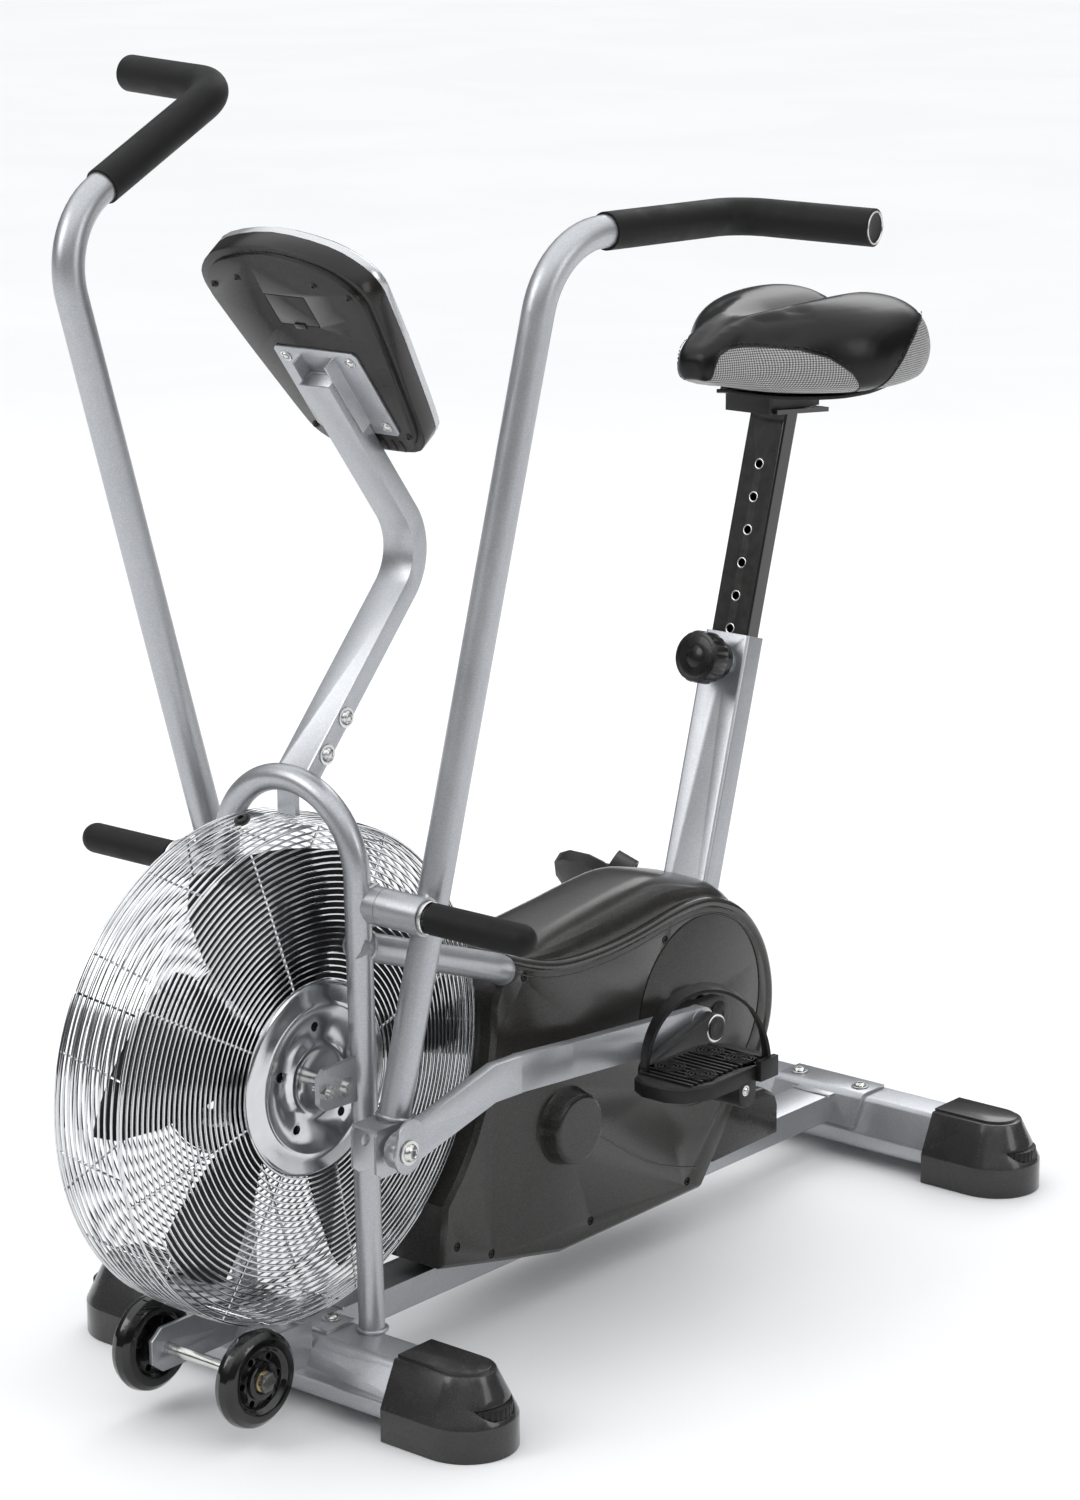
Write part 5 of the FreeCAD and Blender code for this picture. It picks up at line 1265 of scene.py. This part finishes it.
@dataclass
class Saddle:
    """Padded saddle: vinyl top, silver mesh sides, stitched seams, and its post's eyelets."""

    swell: float = 0.006
    voxel: float = 0.0055
    front: tuple[tuple[float, float], ...] = ((646, 925), (651, 940), (654, 958), (660, 970), (672, 976), (690, 977),
                                              (716, 975), (741, 971), (764, 962), (786, 944), (801, 926), (815, 908))
    back: tuple[tuple[float, float], ...] = ((815, 908), (830, 926), (842, 941), (868, 966), (898, 984), (930, 992),
                                             (960, 988), (990, 984))
    tip: float = 815.0

    @staticmethod
    def height(line: tuple[tuple[float, float], ...], y: float) -> float:
        """Height of a seam line at a distance back, in millimetres."""
        for (y0, z0), (y1, z1) in zip(line, line[1:]):
            if y <= y1:
                return z0 + (z1 - z0) * max(0.0, (y - y0) / (y1 - y0))
        return line[-1][1]

    def panel(self, p: Vector) -> float:
        """How far a point is inside a silver panel, negative outside, in metres."""
        y, z = (p.y - SHIFT) * 1000, p.z * 1000
        line = self.front if y < self.tip else self.back
        inside = self.height(line, y) - z
        if y < 660:
            inside = min(inside, (y - 647) * 1.2)
        near_tip = abs(y - self.tip) * 0.9
        return min(inside, max(near_tip, inside * 0.2) if inside > 0 else inside) / 1000

    def pad(self) -> Object:
        """Swells the pad with cloth under pressure, then sinks its middle channel."""
        pad = Bench.merged("saddle_cushion", "saddle_pad")
        Bench.modify(pad, "REMESH", mode="VOXEL", voxel_size=self.voxel)
        start = [v.co.copy() for v in pad.data.vertices]
        for v, p, n in zip(pad.data.vertices, start, [v.normal.copy() for v in pad.data.vertices]):
            v.co = p - n * 0.0035
        self.blow(pad)
        for v in pad.data.vertices:
            v.co.z -= self.channel(v.co)
        Bench.modify(pad, "SMOOTH", factor=0.5, iterations=3)
        Bench.modify(pad, "SUBSURF", levels=1, render_levels=1)
        mark = pad.data.attributes.new("panel", "FLOAT", "POINT")
        mark.data.foreach_set("value", [self.panel(v.co) for v in pad.data.vertices])
        return pad

    def blow(self, pad: Object) -> None:
        """Runs the cloth under pressure and caps how far each point may move.

        Args:
            pad: the remeshed pad, a little smaller than its place.
        """
        held = pad.vertex_groups.new(name="held")
        held.add([v.index for v in pad.data.vertices if v.normal.z < -0.75], 1.0, "REPLACE")
        before = [v.co.copy() for v in pad.data.vertices]
        Bench.take(pad)
        cloth = pad.modifiers.new("cloth", "CLOTH")
        cloth.settings.use_pressure = True
        cloth.settings.uniform_pressure_force = 4.0
        cloth.settings.effector_weights.gravity = 0.0
        cloth.settings.vertex_group_mass = "held"
        cloth.settings.quality = 5
        cloth.point_cache.frame_start, cloth.point_cache.frame_end = 1, 20
        for step in range(1, 21):
            bpy.context.scene.frame_set(step)
        bpy.ops.object.modifier_apply(modifier=cloth.name)
        bpy.context.scene.frame_set(1)
        for v, p in zip(pad.data.vertices, before):
            move = v.co - p
            if move.length > self.swell:
                v.co = p + move * (self.swell / move.length)
        pad.vertex_groups.clear()

    @staticmethod
    def channel(p: Vector) -> float:
        """Depth of the saddle's middle channel at a point, in metres."""
        y, z, x = (p.y - SHIFT) * 1000, p.z * 1000, p.x * 1000
        if z < 965:
            return 0.0
        run = max(0.0, min(1.0, (y - 690) / 110)) * max(0.0, min(1.0, (985 - y) / 30))
        fade = min(1.0, (z - 965) / 20)
        return (0.013 * math.exp(-(x / 17.0) ** 2) + 0.004 * math.exp(-(x / 44.0) ** 2)) * run * fade

    def seams(self, pad: Object) -> None:
        """Lays a piping cord and a row of stitches along both panels' edges."""
        tree = BVHTree.FromObject(pad, bpy.context.evaluated_depsgraph_get())
        cords, stitches = [], []
        for side in (1, -1):
            for line in (self.front, self.back[:-2]):
                spots = []
                for i in range(len(line) * 6):
                    share = i / (len(line) * 6 - 1) * (len(line) - 1)
                    k = min(int(share), len(line) - 2)
                    y = line[k][0] + (line[k + 1][0] - line[k][0]) * (share - k)
                    z = line[k][1] + (line[k + 1][1] - line[k][1]) * (share - k)
                    hit, normal, _, _ = tree.ray_cast(mm(side * 220, y, z), Vector((-side, 0, 0)))
                    if hit and hit.x * side > 0.008:
                        spots.append((hit, normal))
                if len(spots) > 4:
                    cords.append(Bench.wire("cord", [h + n * 0.0001 for h, n in spots], 0.0009, sides=2))
                    for (a, n), (b, _) in zip(spots[::2], spots[1::2]):
                        rise = n * 0.0007 + Vector((0, 0, 0.0042))
                        stitches.append(Bench.wire("stitch", [a + rise, b + rise], 0.0005, sides=1))
        Bench.finish(Bench.join("saddle_piping", cords), "seat", "thread", "", 60)
        Bench.finish(Bench.join("saddle_stitches", stitches), "seat", "thread", "", 60)

    def build(self) -> None:
        """Builds the saddle, rounds its pan and sets its post's eyelets."""
        pad = self.pad()
        Bench.finish(pad, "seat", "saddle", "saddle_vinyl", 70)
        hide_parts("saddle_cushion")
        self.seams(pad)
        Bench.soften("saddle_pan", "seat", "plastic", "black_plastic", 1.0, 40.0)
        self.eyelets()

    def eyelets(self) -> None:
        """Bright eyelets round the post's lock holes."""
        joint = next(j for j in frame["joints"] if j["name"] == "seat_height")
        up = Vector(joint["axis"]).normalized()
        back = Vector((0, up.z, -up.y))
        rings = []
        for i in range(-2, 7):
            spot = SEAT_FOOT + back * -0.0111 + up * (LOCK_DROP + HOLE_PITCH * i) / 1000
            rings.append(Bench.lathe("eyelet", [(4.6, -1.5), (5.6, -1.5), (6.0, 0.15), (5.5, 0.3), (4.7, 0.1)], spot,
                                     -back, 28))
        Bench.finish(Bench.join("post_eyelets", rings), "seat", "zinc")


@dataclass
class SeatLock:
    """Pull knob with a fluted grip."""

    flutes: int = 14
    axis: Vector = field(default_factory=lambda: -SEAT_BACK)

    def build(self) -> None:
        """Turns the knob head over its plain CAD solid."""
        spot = SEAT_FOOT + SEAT_BACK * -0.024 + SEAT_UP * LOCK_DROP / 1000
        outline = [(14.5, 0), (21.5, 0), (22.2, 0.8), (22.2, 16.5), (27.6, 17.6), (29.0, 19.2), (29.0, 37.5),
                   (27.6, 40.2), (24.5, 41.0), (22.6, 40.2), (21.2, 40.6), (12.0, 40.9), (11.0, 40.2), (9.8, 40.9),
                   (0, 41.0), (0, 8.5), (14.5, 8.5)]
        knob = Bench.lathe("knob_head", outline, spot, self.axis, self.flutes * 8)
        for vertex in knob.data.vertices:
            p = vertex.co - spot
            run = p.dot(self.axis)
            out = p - self.axis * run
            if out.length > 0.0262 and 0.0185 < run < 0.0385:
                side = Vector((1, 0, 0))
                a = math.atan2(out.dot(side), out.dot(self.axis.cross(side)))
                vertex.co -= out.normalized() * 0.0016 * max(0.0, math.cos(a * self.flutes)) ** 2
        Bench.finish(knob, "lock_knob", "knob", "knob_plastic", 35)
        outline = [(0, -12.4), (3.6, -12.4), (4.85, -11.2), (4.85, 9), (0, 9)]
        pin = Bench.lathe("knob_pin", outline, spot, self.axis, 28)
        Bench.finish(pin, "lock_knob", "zinc")
        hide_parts("lock_knob")
        Bench.soften("lock_collar", "frame", "zinc", "bright_zinc", 0.6, 40.0)
        Bench.soften("seat_liner", "frame", "plastic", "black_plastic", 0.3, 40.0)


@dataclass
class TransportWheels:
    """Urethane wheels with sealed bearings."""

    def build(self) -> None:
        """Rounds the wheels and adds the rings of their bearings."""
        for word, side in (("left", 1), ("right", -1)):
            body = "transport_wheel_" + word
            mid = centre(body)
            Bench.soften(body, body, "urethane", "wheel_urethane", 0.9, 30.0)
            for out in (1, -1):
                face = mid + Vector((out * 0.0121, 0, 0))
                name = f"bearing_{word}_{'outer' if out == side else 'inner'}"
                outline = [(6.4, -1), (10.6, -1), (10.6, 0.5), (10.0, 0.9), (7.2, 0.9), (6.4, 0.5)]
                Bench.finish(Bench.lathe(name, outline, face, Vector((out, 0, 0)), 32), body, "brass")


@dataclass
class Drive:
    """Cranks and their trims."""

    def build(self) -> None:
        """Rounds the crank arms and caps the crank axle's ends."""
        for word in ("left", "right"):
            Bench.soften("crank_" + word, "crank", "black", "black_paint", 1.4, 40.0)
        for word, side in (("left", 1), ("right", -1)):
            joint = next(j for j in frame["joints"] if j["name"] == "crank_spin")
            spot = Vector(joint["pos_m"]) + Vector((side * 0.0901, 0, 0))
            cap = Bench.lathe("crank_cap_" + word, [(0, 0), (14.5, 0), (14.5, 1.2), (12.5, 2.6), (5, 3.2), (4, 2.4),
                                                    (0, 2.4)], spot, Vector((side, 0, 0)), 40)
            Bench.finish(cap, "crank", "plastic")


# ------------------------------------------------------------------ studio


@dataclass
class Studio:
    """Pale floor, soft lights and the camera."""

    eye: Point = (2.53937, -2.96959, 1.57964)
    aim: Point = (0.10529, -0.07763, 0.62039)
    lens: float = 92.85
    roll: float = -0.34

    def build(self) -> None:
        """Sets the whole studio up."""
        self.floor()
        self.world()
        self.light("key", (-1.9, -3.6, 3.4), 2.2, 60.0)
        self.light("fill", (4.2, 0.6, 2.3), 1.6, 26.0)
        self.light("back", (-1.2, 3.8, 3.0), 2.0, 30.0)
        self.camera()
        bpy.context.scene.view_settings.view_transform = "Standard"

    def floor(self) -> None:
        """Wide plain floor."""
        Bench.clear()
        bpy.ops.mesh.primitive_plane_add(size=90.0, location=(0, 0, -0.0004))
        floor = Bench.new("floor")
        finish = Finish("pale_floor", (0.86, 0.86, 0.86), (0.88, 0.88, 0.88), 0.75, 0.85, grain=60.0,
                        grain_depth=0.01, patch=0.7, specular=0.15)
        Bench.settle(floor)
        floor.data.materials.append(finish.make(Bench.shop.book))

    def world(self) -> None:
        """Studio air: bright overhead and darker at the walls, so that plating has depth."""
        world = bpy.data.worlds.new("studio_air")
        bpy.context.scene.world = world
        world.use_nodes = True
        w = Wires(world.node_tree)
        back = next(n for n in world.node_tree.nodes if n.type == "BACKGROUND")
        spot = w.add("ShaderNodeTexCoord")
        split = w.add("ShaderNodeSeparateXYZ")
        ramp = w.add("ShaderNodeValToRGB")
        ramp.color_ramp.elements[0].position = 0.50
        ramp.color_ramp.elements[0].color = (0.05, 0.052, 0.055, 1)
        ramp.color_ramp.elements[1].position = 0.86
        ramp.color_ramp.elements[1].color = (1.34, 1.35, 1.37, 1)
        middle = ramp.color_ramp.elements.new(0.67)
        middle.color = (0.12, 0.122, 0.128, 1)
        span = w.add("ShaderNodeMapRange", {"From Min": -1.0, "From Max": 1.0})
        w.join(spot, "Generated", split, 0)
        w.join(split, 2, span, "Value")
        w.join(span, 0, ramp, 0)
        w.join(ramp, 0, back, "Color")
        back.inputs["Strength"].default_value = 1.14

    def light(self, name: str, place: Point, size: float, power: float) -> None:
        """Hangs a square soft box that faces the machine's middle."""
        lamp = bpy.data.lights.new(name, "AREA")
        lamp.shape, lamp.size, lamp.energy = "SQUARE", size, power
        box = bpy.data.objects.new(name, lamp)
        box.location = place
        box.rotation_euler = (Vector((0, 0, 0.6)) - Vector(place)).to_track_quat("-Z", "Y").to_euler()
        bpy.context.scene.collection.objects.link(box)

    def camera(self) -> None:
        """Places the camera."""
        data = bpy.data.cameras.new("camera")
        data.lens, data.sensor_width, data.sensor_fit = self.lens, 36.0, "AUTO"
        data.shift_x, data.shift_y = -0.0045, 0.0013
        data.clip_start, data.clip_end = 0.05, 200.0
        camera = bpy.data.objects.new("camera", data)
        look = (Vector(self.aim) - Vector(self.eye)).to_track_quat("-Z", "Y")
        camera.rotation_mode = "QUATERNION"
        camera.rotation_quaternion = look @ Matrix.Rotation(math.radians(self.roll), 3, "Z").to_quaternion()
        camera.location = self.eye
        bpy.context.scene.collection.objects.link(camera)
        bpy.context.scene.camera = camera


def main() -> None:
    """Builds the studio and every sub-assembly in order."""
    logging.basicConfig(level=logging.INFO, format="%(name)s %(message)s")
    Studio().build()
    Bench.shop.paint_cad()
    for assembly in (Frame(), Foot(), FanGuard(), Covers(), Drive(), Pedals(), Arms(), Console(), Saddle(),
                     SeatLock(), TransportWheels()):
        LOG.info("building %s", type(assembly).__name__)
        assembly.build()
    Bench.clear()


if __name__ == "__main__":
    main()
